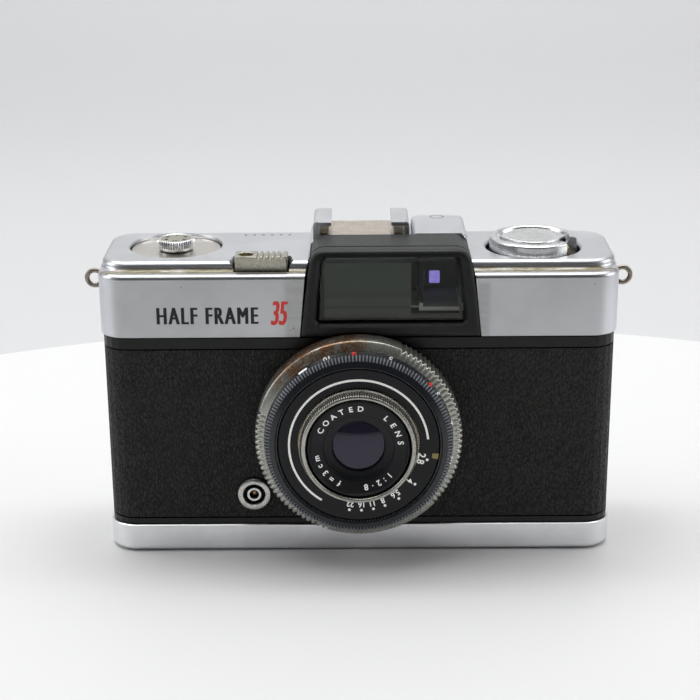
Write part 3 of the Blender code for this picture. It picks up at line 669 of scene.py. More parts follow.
def lettering(name, items, body, slot, mat):
    """items: (text, size, matrix with its translation in mm, sx, sy, options)."""
    bm = bmesh.new()
    for text, size, mat4, sx, sy, opt in items:
        me = glyph(text, size, **opt)
        for v in me.vertices:
            v.co = Vector((v.co.x * sx, v.co.y * sy, v.co.z))
        m = mat4.copy()
        m.translation = m.translation * MM
        me.transform(m)
        bm.from_mesh(me)
        bpy.data.meshes.remove(me)
    o = to_object(bm, name)
    return piece(o, body, slot, mat, angle=30, weighted=False)


def on_front(x, y, z, tilt=0.0):
    """Reads from the front: local x to +X, local y up, local z towards -Y."""
    return Matrix.Translation((x, y, z)) @ Matrix(((1, 0, 0, 0), (0, 0, -1, 0), (0, 1, 0, 0), (0, 0, 0, 1)))


def on_ring(deg, r, y, slope=0.0, centre=L):
    """Tops outward, reading clockwise as seen from the front. slope: degrees that the face leans back outwards."""
    a, b = math.radians(deg), math.radians(slope)
    rad = Vector((math.cos(a), 0, math.sin(a)))
    tx = Vector((math.sin(a), 0, -math.cos(a)))
    ty = rad * math.cos(b) + Vector((0, 1, 0)) * math.sin(b)
    tz = tx.cross(ty)
    m = Matrix.Identity(4)
    for i, v in enumerate((tx, ty, tz)):
        m[0][i], m[1][i], m[2][i] = v
    m.translation = Vector((centre[0] + r * math.cos(a), y, centre[1] + r * math.sin(a)))
    return m


def on_top(deg, r, z, centre):
    """Numbers on a disc that faces up, tops outward."""
    a = math.radians(deg)
    tx = Vector((math.sin(a), -math.cos(a), 0))
    ty = Vector((math.cos(a), math.sin(a), 0))
    m = Matrix.Identity(4)
    for i, v in enumerate((tx, ty, Vector((0, 0, 1)))):
        m[0][i], m[1][i], m[2][i] = v
    m.translation = Vector((centre[0] + r * math.cos(a), centre[1] + r * math.sin(a), z))
    return m


# ------------------------------------------------------------------ CAD nodes that stay, with better surfaces
def dress(node, mat, angle=50):
    o = NODE[node]
    o.data.materials.clear()
    o.data.materials.append(M[mat])
    o.data.shade_smooth()
    o.data.set_sharp_from_angle(angle=math.radians(angle))


for names, mat in (("front_leather_left front_leather_right back_leather", "leather"), ("body_frame", "cast"), ("back_shell", "band"),
                   ("finder_tunnel", "tunnel"), ("frame_light_diffuser", "plate"), ("finder_window", "window"),
                   ("finder_objective", "clear"), ("finder_eyepiece_lens", "clear"), ("eyepiece_frame", "paint"),
                   ("shutter_housing", "paint"), ("lens_carrier", "brass"), ("middle_element", "optic2"), ("rear_element", "optic2"),
                   ("rear_lens_cell", "paint"), ("take_up_spool", "paint"), ("sprocket", "steel"), ("pressure_plate", "steel"),
                   ("pressure_spring", "steel"), ("release_rod", "steel"), ("release_spring", "steel"), ("rewind_shaft", "steel"),
                   ("rewind_fork", "steel"), ("tripod_socket", "steel"), ("shutter_blade_1 shutter_blade_2", "dark_steel"),
                   ("iris_blade_1 iris_blade_2 iris_blade_3 iris_blade_4 iris_blade_5", "dark_steel"), ("sync_insulator", "insulator"),
                   ("sync_sleeve", "knob"), ("lock_wing", "knob"), ("crank_handle", "knob")):
    for nm in names.split():
        dress(nm, mat)

# ------------------------------------------------------------------ top cover
lay = [(ZC, 0.12), (ZC + 0.12, 0.0)] + fillet_top(ZLEDGE, 1.0, 6)
cover = slab("cover_look", -HW, HW, YF, YB, RC, lay, seg=16)
# plateau: hollow curve up from the ledge, then a soft round over to the top
pl = [(ZLEDGE - 8, 2.2, 3.6, 1.2)]
foot, crown = 0.75, 1.15
side0, front0, back0 = 0.45, 3.55, 0.25
for k in range(0, 6):
    a = math.radians(90 * k / 5)
    d = foot * (1 - math.sin(a))
    pl.append((ZLEDGE - 0.02 + foot * (1 - math.cos(a)), max(side0 - d * 0.3, 0.12), front0 - d * 1.5, max(back0 - d * 0.3, 0.1)))
for k in range(1, 8):
    a = math.radians(90 * k / 7)
    d = crown * (1 - math.cos(a))
    pl.append((ZTOP - crown + crown * math.sin(a), side0 + d, front0 + d * 1.1, back0 + d))
plateau = slab("pl", -HW, HW, YF, YB, RC, pl, seg=16, front=6.5)
platform = slab("pf", -10.3, 23.3, YF + 0.4, YB - 0.3, 1.6, [(55, 0)] + fillet_top(ZPLAT, 0.6, 4), seg=6)
bump = slab("bp", 11.5, 23.1, -4.0, YB - 0.2, 2.0, [(55, 0)] + fillet_top(ZBUMP, 1.0, 6), seg=8)
cut(cover, plateau, platform, bump, op="UNION")
BEZ_OUT = [(-12.3, 48.0), (25.6, 48.0), (25.6, 49.0), (24.2, 62.0), (23.0, 66.6), (21.6, 68.6), (-8.4, 68.6), (-9.9, 66.6), (-11.1, 62.0), (-12.3, 49.0)]
flare = []
for k in range(7):
    t = k / 6
    w = 0.02 + 1.9 * t ** 2.4
    poly = [(-25.98 - w, -12.4), (-14.42 + w, -12.4), (-14.42 + w * 0.2, -6.3), (-25.98 - w * 0.2, -6.3)]
    flare.append([(x, y, ZLEDGE + 0.03 + 2.1 * t) for x, y in poly])
cut(cover,
    slab("c1", -HW + 0.9, HW - 0.9, YF + 0.9, YB - 0.9, RC - 0.9, [(40, 0), (ZLEDGE - 0.9, 0)], seg=10),
    slab("c2", -HW + 1.8, HW - 1.8, YF + 5.2, YB - 1.5, 3.6, [(55, 0), (ZTOP - 0.9, 0)], seg=6),
    block("c3", 12.3, 22.1, -6, YB - 1.3, 60, ZBUMP - 0.9),
    loft("c4", [[(x, y, z) for x, z in BEZ_OUT] for y in (-20, -2.3)]),
    turn("c5", [(0, 60), (9.9, 60), (9.9, ZTOP - 0.22), (10.08, ZTOP - 0.02), (10.2, ZTOP + 0.3), (0, ZTOP + 0.3)], "Z", COUNTER, 96),
    turn("c6", [(0, 60), (10.1, 60), (10.1, ZTOP - 0.6), (10.4, ZTOP - 0.2), (10.95, ZTOP + 0.02), (11.1, ZTOP + 0.3), (0, ZTOP + 0.3)], "Z", REW, 96),
    block("c7", -25.98, -14.42, -11.8, -6.2, 60, 70),
    loft("c8", flare),
    block("c9", COUNTER[0] - 8.8, COUNTER[0] + 8.8, 12.5, 20, 50.2, 54.8),
    block("c10", 12.6, 21.8, 12, 20, 59.6, 65.6),
    turn("c11", [(0, 12), (2.5, 12), (2.5, 20), (0, 20)], "Y", (-20.5, 58.3), 32),
    turn("c12", [(0, -20), (21.4, -20), (21.4, -11), (0, -11)], "Y", L, 96))
piece(cover, "camera_body", "satin_chrome", "satin", "top_cover", angle=28)

# small round mark on the finder housing
mark = turn("housing_mark", [(1.32, ZBUMP - 0.1), (1.52, ZBUMP - 0.1), (1.52, ZBUMP + 0.015), (1.32, ZBUMP + 0.015)], "Z", (17.3, 12.0), 48)
piece(mark, "camera_body", "bright_chrome", "ink")
number_row = [("000000", 1.25, Matrix.Translation((NUM[0], NUM[1], ZTOP + 0.0)), 1.0, 1.0, {"depth": 0.03, "spacing": 3.1})]

# ------------------------------------------------------------------ viewfinder bezel
BEZ = [(-12.0, 49.3), (25.3, 49.3), (24.6, 56.5), (22.9, 68.0), (-9.7, 68.0), (-11.2, 56.5)]
BEZ_R = [0.5, 0.5, 30, 3.2, 3.2, 30]
WIN = [(-8.75, 52.3), (22.1, 52.3), (21.5, 58.5), (20.6, 66.3), (-7.6, 66.3), (-8.35, 58.5)]
WIN_R = [1.0, 1.0, 20, 1.3, 1.3, 20]


def ring_loft(name, poly, radii, steps, seg=8):
    """steps: (y, inset). The outline is moved in first and rounded afterwards, so a loop never crosses itself."""
    loops = []
    for y, d in steps:
        pts = round_corners(offset(poly, d), [max(r - d, 0.1) for r in radii], seg)
        loops.append([(x, y, z) for x, z in pts])
    return loft(name, loops)


bezel = ring_loft("bezel_look", BEZ, BEZ_R, [(-16.0, 1.15), (-15.93, 0.75), (-15.75, 0.4), (-15.45, 0.15), (-15.1, 0.0), (-12.75, 0.0), (-12.6, 0.25), (-12.3, 0.25), (-12.15, 0.0), (-2.95, 0.0), (-2.6, 0.3)])
mouth = ring_loft("w1", WIN, WIN_R, [(-17.0, -1.2), (-16.02, -0.8), (-15.7, -0.42), (-15.35, -0.15), (-14.9, 0.0), (5.0, 0.01)])
disc_cut = loft("w3", [[(L[0] + 22.23 * math.cos(2 * math.pi * k / 180), y, L[1] + 22.23 * math.sin(2 * math.pi * k / 180)) for k in range(180)] for y in (-20.0, -12.61)])
cut(bezel, mouth, disc_cut, block("w4", 12.2, 22.15, -12.95, 5, 53.8, 66.15))
piece(bezel, "camera_body", "black_paint", "bezel", "finder_bezel", angle=30)

# finder inside: dark baffle with the small bright exit window, seen through the right half
mask_out = [(-8.0, 53.0), (21.6, 53.0), (21.0, 60), (20.1, 65.3), (19.4, 66.0), (-6.5, 66.0), (-7.3, 65.3), (-7.8, 60)]
fmask = loft("finder_plate", [[(x, y, z) for x, z in mask_out] for y in (-13.85, -13.35)])
cut(fmask, block("fm", 10.9, 20.9, -15, -12, 53.9, 65.25))
piece(fmask, "camera_body", "black_paint", "plate", "finder_mask")
side_floor = block("finder_side_floor", 10.95, 12.5, -12.5, 0.9, 54.9, 55.2)
piece(side_floor, "camera_body", "black_paint", "tunnel")
side_wall = block("finder_side_wall", 10.95, 12.5, 0.9, 1.2, 54.9, 65.4)
piece(side_wall, "camera_body", "black_paint", "deep")
left_wall = block("finder_left_wall", 10.6, 10.9, -12.9, 1.2, 54.9, 65.6)
piece(left_wall, "camera_body", "black_paint", "deep")
baffle = block("finder_baffle", 13.5, 20.9, 0.9, 1.3, 55.05, 65.1)
piece(baffle, "camera_body", "black_paint", "deep", bevel=0.05)
pane = prism_y("finder_exit_window", round_corners([(15.25, 56.3), (17.5, 56.3), (17.5, 59.0), (15.25, 59.0)], [0.25] * 4, 3), [(0.5, 0.08), (0.58, 0.0), (0.85, 0.0)])
piece(pane, "camera_body", "coated_glass", "exit")

# ------------------------------------------------------------------ accessory shoe
SX = 0.65
shoe = round_corners([(SX - 10.25, 66.12), (SX + 10.25, 66.12), (SX + 10.25, 70.0), (SX + 6.4, 70.0), (SX + 6.4, 69.25), (SX + 9.35, 69.15),
                      (SX + 9.35, 67.0), (SX - 9.35, 67.0), (SX - 9.35, 69.15), (SX - 6.4, 69.25), (SX - 6.4, 70.0), (SX - 10.25, 70.0)],
                     [0.1, 0.1, 0.9, 0.2, 0.12, 0.3, 0.1, 0.1, 0.3, 0.12, 0.2, 0.9], 4)
sh = prism_y("shoe_look", shoe, [(-0.4, 0.0), (12.4, 0.0)])
cut(sh, block("s1", SX - 6.0, SX + 6.0, -2, 1.2, 66.9, 71), block("s2", -20, SX - 9.2, -3, -0.0, 69.0, 71), block("s3", SX + 9.2, 20, -3, -0.0, 69.0, 71))
piece(sh, "camera_body", "satin_chrome", "satin", "accessory_shoe", angle=30, bevel=0.12)
for sx in (-1, 1):
    spring_leaf = loft(f"shoe_leaf_{'l' if sx < 0 else 'r'}", [[(SX + sx * 9.0, y, 67.25 + h), (SX + sx * 7.0, y, 67.25 + h), (SX + sx * 7.0, y, 67.42 + h), (SX + sx * 9.0, y, 67.42 + h)][::sx]
                                  for y, h in ((0.4, 0.0), (3, 0.15), (6.5, 0.6), (9.5, 0.25), (12.0, 0.0))])
    piece(spring_leaf, "camera_body", "steel", "shoe_spring")
floor_plate = slab("shoe_floor_plate", SX - 9.2, SX + 9.2, 0.1, 12.3, 0.3, [(66.9, 0), (67.14, 0.0), (67.2, 0.1)], seg=3)
piece(floor_plate, "camera_body", "brass", "shoe_floor")

# ------------------------------------------------------------------ release block
but = slab("release_look", -25.7, -14.7, -11.35, -6.5, 0.45, [(60.5, 0.0)] + fillet_top(65.55, 0.25, 3), seg=5)
cuts = [turn("h", [(0, 61.5), (1.5, 61.5), (1.5, 65.35), (1.66, 65.58), (1.66, 67), (0, 67)], "Z", (-23.4, -8.95), 40)]
for k in range(5):
    x = -20.75 + 1.2 * k
    cuts.append(loft(f"g{k}", [[(x - 0.42, y, 65.9), (x - 0.2, y, 65.02), (x + 0.2, y, 65.02), (x + 0.42, y, 65.9)] for y in (-13, -5)]))
cut(but, *cuts)
piece(but, "release", "satin_chrome", "block", "release_button", angle=30, bevel=0.07)
thread = [turn(f"t{k}", [(1.1, 62.3 + 0.5 * k), (1.52, 62.1 + 0.5 * k), (1.52, 62.5 + 0.5 * k)], "Z", (-23.4, -8.95), 32) for k in range(4)]
piece(join("cable_thread", thread), "release", "steel", "brass")

# ------------------------------------------------------------------ frame counter
disc = turn("counter_look", [(1.6, 62.1), (9.6, 62.1), (9.6, 63.55), (9.45, 63.68), (9.2, 63.6), (4.5, 63.5), (1.6, 63.5)], "Z", COUNTER, 96)
piece(disc, "counter", "satin_chrome", "disc", "counter_dial")
kn = turn("counter_knob_look", [(0, 58), (1.25, 58), (1.25, 63.72), (3.6, 63.72), (3.75, 64.0), (3.9, 64.35), (4.12, 64.5), (4.12, 65.6), (3.85, 65.95), (3.5, 66.02), (3.3, 65.9), (2.9, 65.86), (0, 65.9)],
          "Z", COUNTER, 288, wave=lambda a, i, r: r - (0.16 * (0.5 + 0.5 * math.cos(math.radians(a * 48))) if 6 <= i <= 8 else 0))
piece(kn, "counter", "satin_chrome", "knob", "counter_knob", angle=40)
face_disc = turn("counter_face", [(0, 65.86), (2.85, 65.86), (3.2, 65.9), (3.2, 65.94), (2.85, 65.93), (0, 65.98)], "Z", COUNTER, 48)
piece(face_disc, "counter", "satin_chrome", "block")
cnt = []
for k, t in enumerate(("0", "10", "20", "30", "40", "50")):
    cnt.append((t, 1.1, on_top(90 - 60 * k, 2.2, 65.92, COUNTER), 1, 1, {"depth": 0.05}))
lettering("knob_figures", cnt, "counter", "satin_chrome", "ink")

# ------------------------------------------------------------------ rewind knob and crank
rk = turn("rewind_look", [(0, 59.6), (6.0, 59.6), (6.0, 61.8), (9.2, 62.0), (9.3, 62.2), (9.3, 65.9), (9.15, 66.25), (8.75, 66.5), (8.0, 66.55), (7.75, 66.4), (7.55, 65.5), (7.35, 65.25), (0, 65.1)],
          "Z", REW, 128)
cut(rk, turn("rc1", [(0, 63.2), (2.3, 63.2), (2.3, 70), (0, 70)], "Z", (REW[0] - 4.9, REW[1]), 32),
    loft("rc2", [[(x, y, z) for x, y in ((REW[0] + 5.2, REW[1] - 4.0), (REW[0] + 7.6, REW[1] - 8.6), (REW[0] + 12, REW[1] - 6.5), (REW[0] + 12, REW[1] - 1.6), (REW[0] + 7.0, REW[1] - 1.6))] for z in (62.9, 70)]))
piece(rk, "rewind_rotor", "satin_chrome", "knob", "rewind_knob", angle=32, bevel=0.06)
# eye-shaped crank plate, crowned and dished
N = 40
up, dn = [], []
for k in range(N + 1):
    t = -1 + 2 * k / N
    w = 6.1 * (1 - abs(t) ** 2.1) + 0.12
    up.append((REW[0] + 7.0 * t, REW[1] + w))
    dn.append((REW[0] + 7.0 * t, REW[1] - w))
eye = dn + up[::-1]
loops = [[(x, y, z) for x, y in offset(eye, d)] for z, d in ((65.5, 0.05), (65.55, 0.0), (66.3, 0.0), (66.5, 0.08), (66.6, 0.28))]
cx = REW[0]
inner_loops = []
for s, z in ((0.86, 66.6), (0.8, 66.52), (0.6, 66.38), (0.35, 66.3), (0.12, 66.28)):
    inner_loops.append([(REW[0] + (x - REW[0]) * s, REW[1] + (y - REW[1]) * s, z) for x, y in offset(eye, 0.28)])
crank = loft("crank_look", loops + inner_loops)
piece(crank, "crank", "satin_chrome", "knob", "rewind_crank", angle=40)
pin = turn("crank_pin", [(0, REW[1] - 2.4), (0.42, REW[1] - 2.4), (0.42, REW[1] + 2.4), (0, REW[1] + 2.4)], "Y", (43.8, 66.0), 20)
piece(pin, "rewind_rotor", "steel", "dark_steel")
# painted shade: a thin black ring laid on the knob's dished top, where the folded crank shades it
shade = turn("crank_recess_shade_ring", [(2.4, 65.08), (7.32, 65.08), (7.32, 65.16), (2.4, 65.16)], "Z", REW, 64)
cut(shade, turn("cr1", [(0, 64), (2.4, 64), (2.4, 66), (0, 66)], "Z", (REW[0] - 4.9, REW[1]), 32))
piece(shade, "rewind_rotor", "black_paint", "deep")
catch = block("crank_catch", REW[0] + 5.6, REW[0] + 7.2, REW[1] - 5.5, REW[1] - 2.2, 62.95, 65.1)
piece(catch, "rewind_rotor", "brass", "brass", bevel=0.1)

# ------------------------------------------------------------------ strap lugs
for side, nm in ((-1, "left"), (1, "right")):
    ring = torus(f"lug_ring_{nm}", (side * 56.75, 0.4, 57.9), "Y", 1.68, 0.52, 56, 14)
    foot_ = turn(f"lug_foot_{nm}", [(0, -0.2), (1.9, -0.2), (1.9, 0.15), (1.5, 0.4), (0.8, 0.55), (0, 0.55)], "Z", (0, 0), 32)
    for v in foot_.data.vertices:
        x, y, z = v.co
        v.co = Vector((side * (z + 54.5 * MM), y + 0.4 * MM, x + 57.9 * MM))
    foot_.data.flip_normals() if side > 0 else None
    piece(join(f"strap_lug_{nm}_look", [ring, foot_]), "camera_body", "steel", "lug", f"strap_lug_{nm}")

# ------------------------------------------------------------------ flash sync terminal
sr = turn("sync_look", [(2.2, -11.7), (2.8, -11.7), (2.8, -13.6), (3.55, -13.6), (3.62, -13.7), (3.62, -14.5), (3.45, -14.8), (3.0, -14.98), (2.45, -14.9), (2.25, -14.6), (2.2, -14.2)], "Y", SYNC, 96)
piece(sr, "camera_body", "bright_chrome", "plated", "sync_ring")
cup = turn("sync_cup", [(1.6, -12.9), (2.15, -12.9), (2.15, -14.3), (2.02, -13.4), (1.6, -13.3)], "Y", SYNC, 48)
piece(cup, "camera_body", "black_paint", "deep")
pinh = turn("sync_contact", [(0, -13.3), (0.3, -13.3), (0.36, -13.62), (0.22, -13.78), (0, -13.8)], "Y", SYNC, 24)
piece(pinh, "camera_body", "brass", "brass")

# ------------------------------------------------------------------ base and back
lay = [(0.0, 1.5), (0.08, 1.05), (0.28, 0.62), (0.6, 0.3), (1.05, 0.08), (1.5, 0.0), (ZB - 0.35, 0.0), (ZB - 0.12, 0.06), (ZB, 0.25)]
base = slab("base_look", -HW, HW, YF, YB, RC, lay, seg=16)
cut(base, slab("b1", -HW + 0.9, HW - 0.9, YF + 0.9, YB - 0.9, RC - 0.9, [(1.0, 0.9), (1.9, 0), (8, 0)], seg=10),
    turn("b2", [(0, -1), (6.9, -1), (6.6, 0.3), (6.6, 1.7), (0, 1.7)], "Z", LOCK, 72), turn("b3", [(0, -1), (5.5, -1), (5.3, 0.25), (5.3, 1.7), (0, 1.7)], "Z", TRIPOD, 64),
    turn("b4", [(8.2, -1), (8.5, -1), (8.5, 0.12), (8.2, 0.12)], "Z", LOCK, 72))
piece(base, "back", "satin_chrome", "satin_base", "base_pan", angle=28)
trip = turn("tripod_look", [(3.1, 0.35), (3.35, 0.1), (4.9, 0.1), (5.05, 0.25), (5.05, 1.3), (6.6, 1.3), (6.6, 2.2), (3.1, 2.2)], "Z", TRIPOD, 64)
piece(trip, "back", "steel", "steel", "tripod_socket")
th = [turn(f"th{k}", [(2.75, 0.62 + 0.5 * k), (3.15, 0.4 + 0.5 * k), (3.15, 0.84 + 0.5 * k)], "Z", TRIPOD, 48) for k in range(3)]
piece(join("tripod_thread", th), "back", "steel", "steel")
key = turn("lock_look", [(0, 0.35), (5.9, 0.35), (6.15, 0.55), (6.2, 1.4), (7.2, 1.4), (7.2, 2.2), (0, 2.2)], "Z", LOCK, 72)
kp = round_corners([(LOCK[0] - 5.1, LOCK[1] + 1.3), (LOCK[0] - 5.1, LOCK[1] - 1.4), (LOCK[0] - 3.0, LOCK[1] - 4.2), (LOCK[0] + 3.0, LOCK[1] - 4.2), (LOCK[0] + 5.1, LOCK[1] - 1.4), (LOCK[0] + 5.1, LOCK[1] + 1.3)], [0.3, 1.5, 1.5, 1.5, 1.5, 0.3], 5)
cut(key, loft("k1", [[(x, y, z) for x, y in kp] for z in (-0.5, 1.25)]))
piece(key, "lock", "bright_chrome", "plated", "lock_key", angle=30)
arrows = []
for a0 in (20, 110):
    pts = [(10.3, a0), (10.3, a0 + 40)]
    ring_ = []
    for k in range(13):
        a = math.radians(a0 + 40 * k / 12)
        ring_.append([(LOCK[0] + r * math.cos(a), LOCK[1] + r * math.sin(a), z) for r, z in ((10.1, -0.01), (10.5, -0.01), (10.5, 0.1), (10.1, 0.1))])
    arrows.append(loft("ar", ring_))
    a = math.radians(a0 + 46)
    b = math.radians(a0 + 39)
    tip = (LOCK[0] + 10.3 * math.cos(a), LOCK[1] + 10.3 * math.sin(a))
    p1 = (LOCK[0] + 9.6 * math.cos(b), LOCK[1] + 9.6 * math.sin(b))
    p2 = (LOCK[0] + 11.0 * math.cos(b), LOCK[1] + 11.0 * math.sin(b))
    arrows.append(loft("at", [[(*tip, z), (*p1, z), (*p2, z)] for z in (-0.01, 0.1)]))
piece(join("lock_arrows", arrows), "back", "black_paint", "ink")

# film-side finger wheel
ww = turn("wheel_look", [(0, 44.2), (1.7, 44.2), (1.7, 50.7), (12.6, 50.7), (12.9, 50.85), (13.1, 51.2), (13.1, 53.8), (12.9, 54.15), (12.6, 54.3), (1.7, 54.3), (1.7, 57.0), (0, 57.0)], "Z", COUNTER, 480,
          wave=lambda a, i, r: r - (0.42 * (0.5 + 0.5 * math.cos(math.radians(a * 60))) if r > 12.5 else 0))
piece(ww, "wind", "bright_chrome", "plated", "wind_wheel", angle=40)
rb = turn("rewind_button_look", [(0, 11.0), (1.0, 11.0), (1.0, 12.6), (3.1, 12.6), (3.1, 13.2), (2.1, 13.2), (2.1, 15.3), (1.95, 15.6), (1.5, 15.72), (0, 15.6)], "Y", (-20.5, 58.3), 56)
piece(rb, "rewind_release", "bright_chrome", "knob", "rewind_button")
collar = turn("rewind_button_collar", [(2.5, 13.6), (3.3, 13.6), (3.3, 14.5), (3.1, 14.65), (2.7, 14.65), (2.5, 14.5)], "Y", (-20.5, 58.3), 56)
piece(collar, "camera_body", "bright_chrome", "plated")
ef = prism_y("eyepiece_rim", round_corners([(13.0, 60.0), (21.4, 60.0), (21.4, 65.2), (13.0, 65.2)], [0.9] * 4, 5), [(12.9, 0), (15.1, 0), (15.3, 0.2)])
cut(ef, prism_y("e1", round_corners([(14.0, 60.9), (20.4, 60.9), (20.4, 64.3), (14.0, 64.3)], [0.5] * 4, 4), [(11, 0), (14.6, 0), (15.4, -0.5), (16, -0.5)]))
piece(ef, "camera_body", "black_paint", "paint", "eyepiece_frame", angle=30)
eg = prism_y("eyepiece_glass", round_corners([(13.9, 60.8), (20.5, 60.8), (20.5, 64.4), (13.9, 64.4)], [0.4] * 4, 3), [(13.9, 0), (14.3, 0)])
piece(eg, "camera_body", "coated_glass", "optic2")

# ------------------------------------------------------------------ lens rings
def grip_a(a, i, r):
    if 2 <= i <= 7 and (a < 66 or a > 318 or 163 < a < 252):
        return r - 0.52 * (0.5 + 0.5 * math.cos(math.radians(a * 112))) ** 1.6
    return r


ra = turn("speed_ring_look", [(18.9, -15.2), (21.35, -15.2), (21.6, -15.35), (21.8, -15.6), (21.8, -17.6), (21.8, -19.6), (21.68, -19.95), (21.4, -20.2), (20.0, -20.75), (19.75, -20.82), (19.6, -20.75), (19.55, -20.5), (19.5, -20.0), (18.9, -20.0)], "Y", L, 1488, wave=grip_a)
piece(ra, "speed", "bright_chrome", "nickel", "speed_ring", angle=50, weighted=False)
rb_ = turn("focus_ring_look", [(17.0, -20.9), (19.3, -20.9), (19.75, -21.0), (19.72, -21.2), (19.05, -22.3), (19.05, -22.5), (19.4, -22.6), (19.65, -22.85), (19.6, -23.3), (18.75, -23.67), (18.6, -23.74), (17.45, -24.22), (17.2, -23.8), (17.0, -23.75)],
           "Y", L, 1344, wave=lambda a, i, r: r - (0.5 * (0.5 + 0.5 * math.cos(math.radians(a * 168))) ** 1.1 if 6 <= i <= 9 else 0))
piece(rb_, "focus", "black_anodised", "ribs", "focus_ring", angle=60, weighted=False)
plate = turn("aperture_plate_look", [(12.7, -22.6), (16.75, -22.6), (16.75, -23.55), (16.65, -23.65), (12.8, -23.65), (12.7, -23.6)], "Y", L, 160)
piece(plate, "lens_unit", "black_paint", "face", "aperture_dial")
rd = turn("front_ring_look", [(10.95, -22.6), (12.35, -22.6), (12.5, -22.8), (12.5, -23.9), (12.42, -24.05), (12.3, -24.2), (11.95, -25.75), (11.8, -26.0), (11.45, -26.2), (11.15, -26.12), (10.95, -25.85)],
          "Y", L, 900, wave=lambda a, i, r: r - (0.2 * (0.5 + 0.5 * math.cos(math.radians(a * 150))) if 4 <= i <= 6 else 0))
piece(rd, "aperture", "bright_chrome", "ringd", "aperture_grip_ring", angle=50, weighted=False)
cell = turn("name_ring_look", [(9.4, -18.1), (10.6, -18.1), (10.65, -25.5), (10.45, -25.72), (10.1, -25.72), (9.95, -25.5), (7.75, -24.95), (7.45, -24.85), (7.35, -24.45), (7.25, -24.35), (6.1, -24.1), (5.6, -23.95), (5.5, -23.75), (5.5, -21.2), (9.4, -21.2)], "Y", L, 128)
piece(cell, "lens_unit", "black_anodised", "face", "front_lens_cell", angle=40)
lens_prof = [(0, -22.0)] + [(6.6 * k / 6, -21.7 - 0.3 * (1 - (k / 6) ** 2)) for k in range(1, 7)]
lens_prof += [(6.6 * k / 12, -23.1 - 1.3 * (1 - (k / 12) ** 2)) for k in range(12, 0, -1)] + [(0, -24.4)]
fe = turn("front_element_look", [p for p in lens_prof], "Y", L, 96)
for p in fe.data.polygons:
    p.use_smooth = True
piece(fe, "lens_unit", "coated_glass", "optic", "front_element", angle=60, weighted=False)

# aperture scale: a white arc, then dots and numbers
arc = []
a0, a1 = 5.6, 237.3
n = 110
loops = []
for k in range(n + 1):
    a = math.radians(a0 + (a1 - a0) * k / n)
    loops.append([(L[0] + r * math.cos(a), y, L[1] + r * math.sin(a)) for r, y in ((14.22, -23.6), (14.66, -23.6), (14.66, -23.74), (14.22, -23.74))])
arc.append(loft("arc", loops))
dots = (-12.6, -36.5, -55.0, -68.0, -78.0, -88.0, -98.0)
for k, a in enumerate(dots):
    a = math.radians(a)
    arc.append(turn(f"dot{k}", [(0, -23.6), (0.3, -23.6), (0.3, -23.72), (0.26, -23.74), (0, -23.74)], "Y", (L[0] + 14.55 * math.cos(a), L[1] + 14.55 * math.sin(a)), 16))
piece(join("aperture_scale", arc), "lens_unit", "black_paint", "white")
items = [(t, w, on_ring(a, 13.3, -23.6), 0.92, 1, {"depth": 0.12, "bold": 0.04}) for a, t, w in zip(dots, ("2.8", "4", "5.6", "8", "11", "16", "22"), (2.2, 1.9, 1.8, 1.8, 1.7, 1.7, 1.7))]
lettering("aperture_figures", items, "lens_unit", "black_paint", "white")
gold = loft("aperture_index", [[(L[0] + r * math.cos(math.radians(-8.4)) - d * math.sin(math.radians(-8.4)), y, L[1] + r * math.sin(math.radians(-8.4)) + d * math.cos(math.radians(-8.4))) for r, d in ((15.4, -0.5), (16.7, -0.62), (16.7, 0.62), (15.4, 0.5))] for y in (-23.55, -23.74)])
piece(gold, "lens_unit", "brass", "gold")

# distance figures on the black band behind the knurl
slope = 28
FLIP = Matrix.Rotation(math.pi, 4, "Z")
items = [(t, 1.5, on_ring(a, 19.44, -21.62, slope) @ FLIP, 1.15, 0.95, {"depth": 0.1, "bold": 0.03}) for a, t in ((109.5, "10"), (70, "5"), (33, "3"), (12, "2"), (-12, "1.5"))]
lettering("distance_figures", items, "focus", "black_anodised", "white")
dash = []
for k in range(9):
    a = math.radians(122.8 + 6.2 * k / 8)
    dash.append([(L[0] + r * math.cos(a), y, L[1] + r * math.sin(a)) for r, y in ((19.28, -21.8), (19.5, -21.42), (19.62, -21.5), (19.4, -21.88))])
piece(loft("distance_dash", dash), "focus", "black_anodised", "white")
reds = []
for k, a in enumerate((92.5, 40.6)):
    me = glyph("o", 0.1)
    bpy.data.meshes.remove(me)
    m = on_ring(a, 19.42, -21.66, slope)
    d = turn(f"rd{k}", [(0, 0), (0.5, 0), (0.5, 0.1), (0.4, 0.15), (0, 0.16)], "Z", (0, 0), 24)
    m.translation = m.translation * MM
    d.data.transform(m)
    reds.append(d)
piece(join("distance_marks", reds), "focus", "black_anodised", "red")

# lens ring lettering, generic wording
items = []


def ring_text(text, a_start, a_end, r, y, size, slope_):
    k = len(text)
    for i, ch in enumerate(text):
        if ch != " ":
            a = a_start + (a_end - a_start) * i / (k - 1)
            items.append((ch, size, on_ring(a, r, y, slope_), 1, 1, {"depth": 0.12, "bold": 0.035}))


ring_text("COATED", 153, 87, 8.8, -25.14, 1.75, -13)
ring_text("LENS", 49, 8, 8.8, -25.14, 1.75, -13)
ring_text("1:2.8", -43, -80, 8.8, -25.14, 1.75, -13)
ring_text("f=3cm", -118, -166, 8.8, -25.14, 1.75, -13)
lettering("name_ring_figures", items, "lens_unit", "black_anodised", "white")

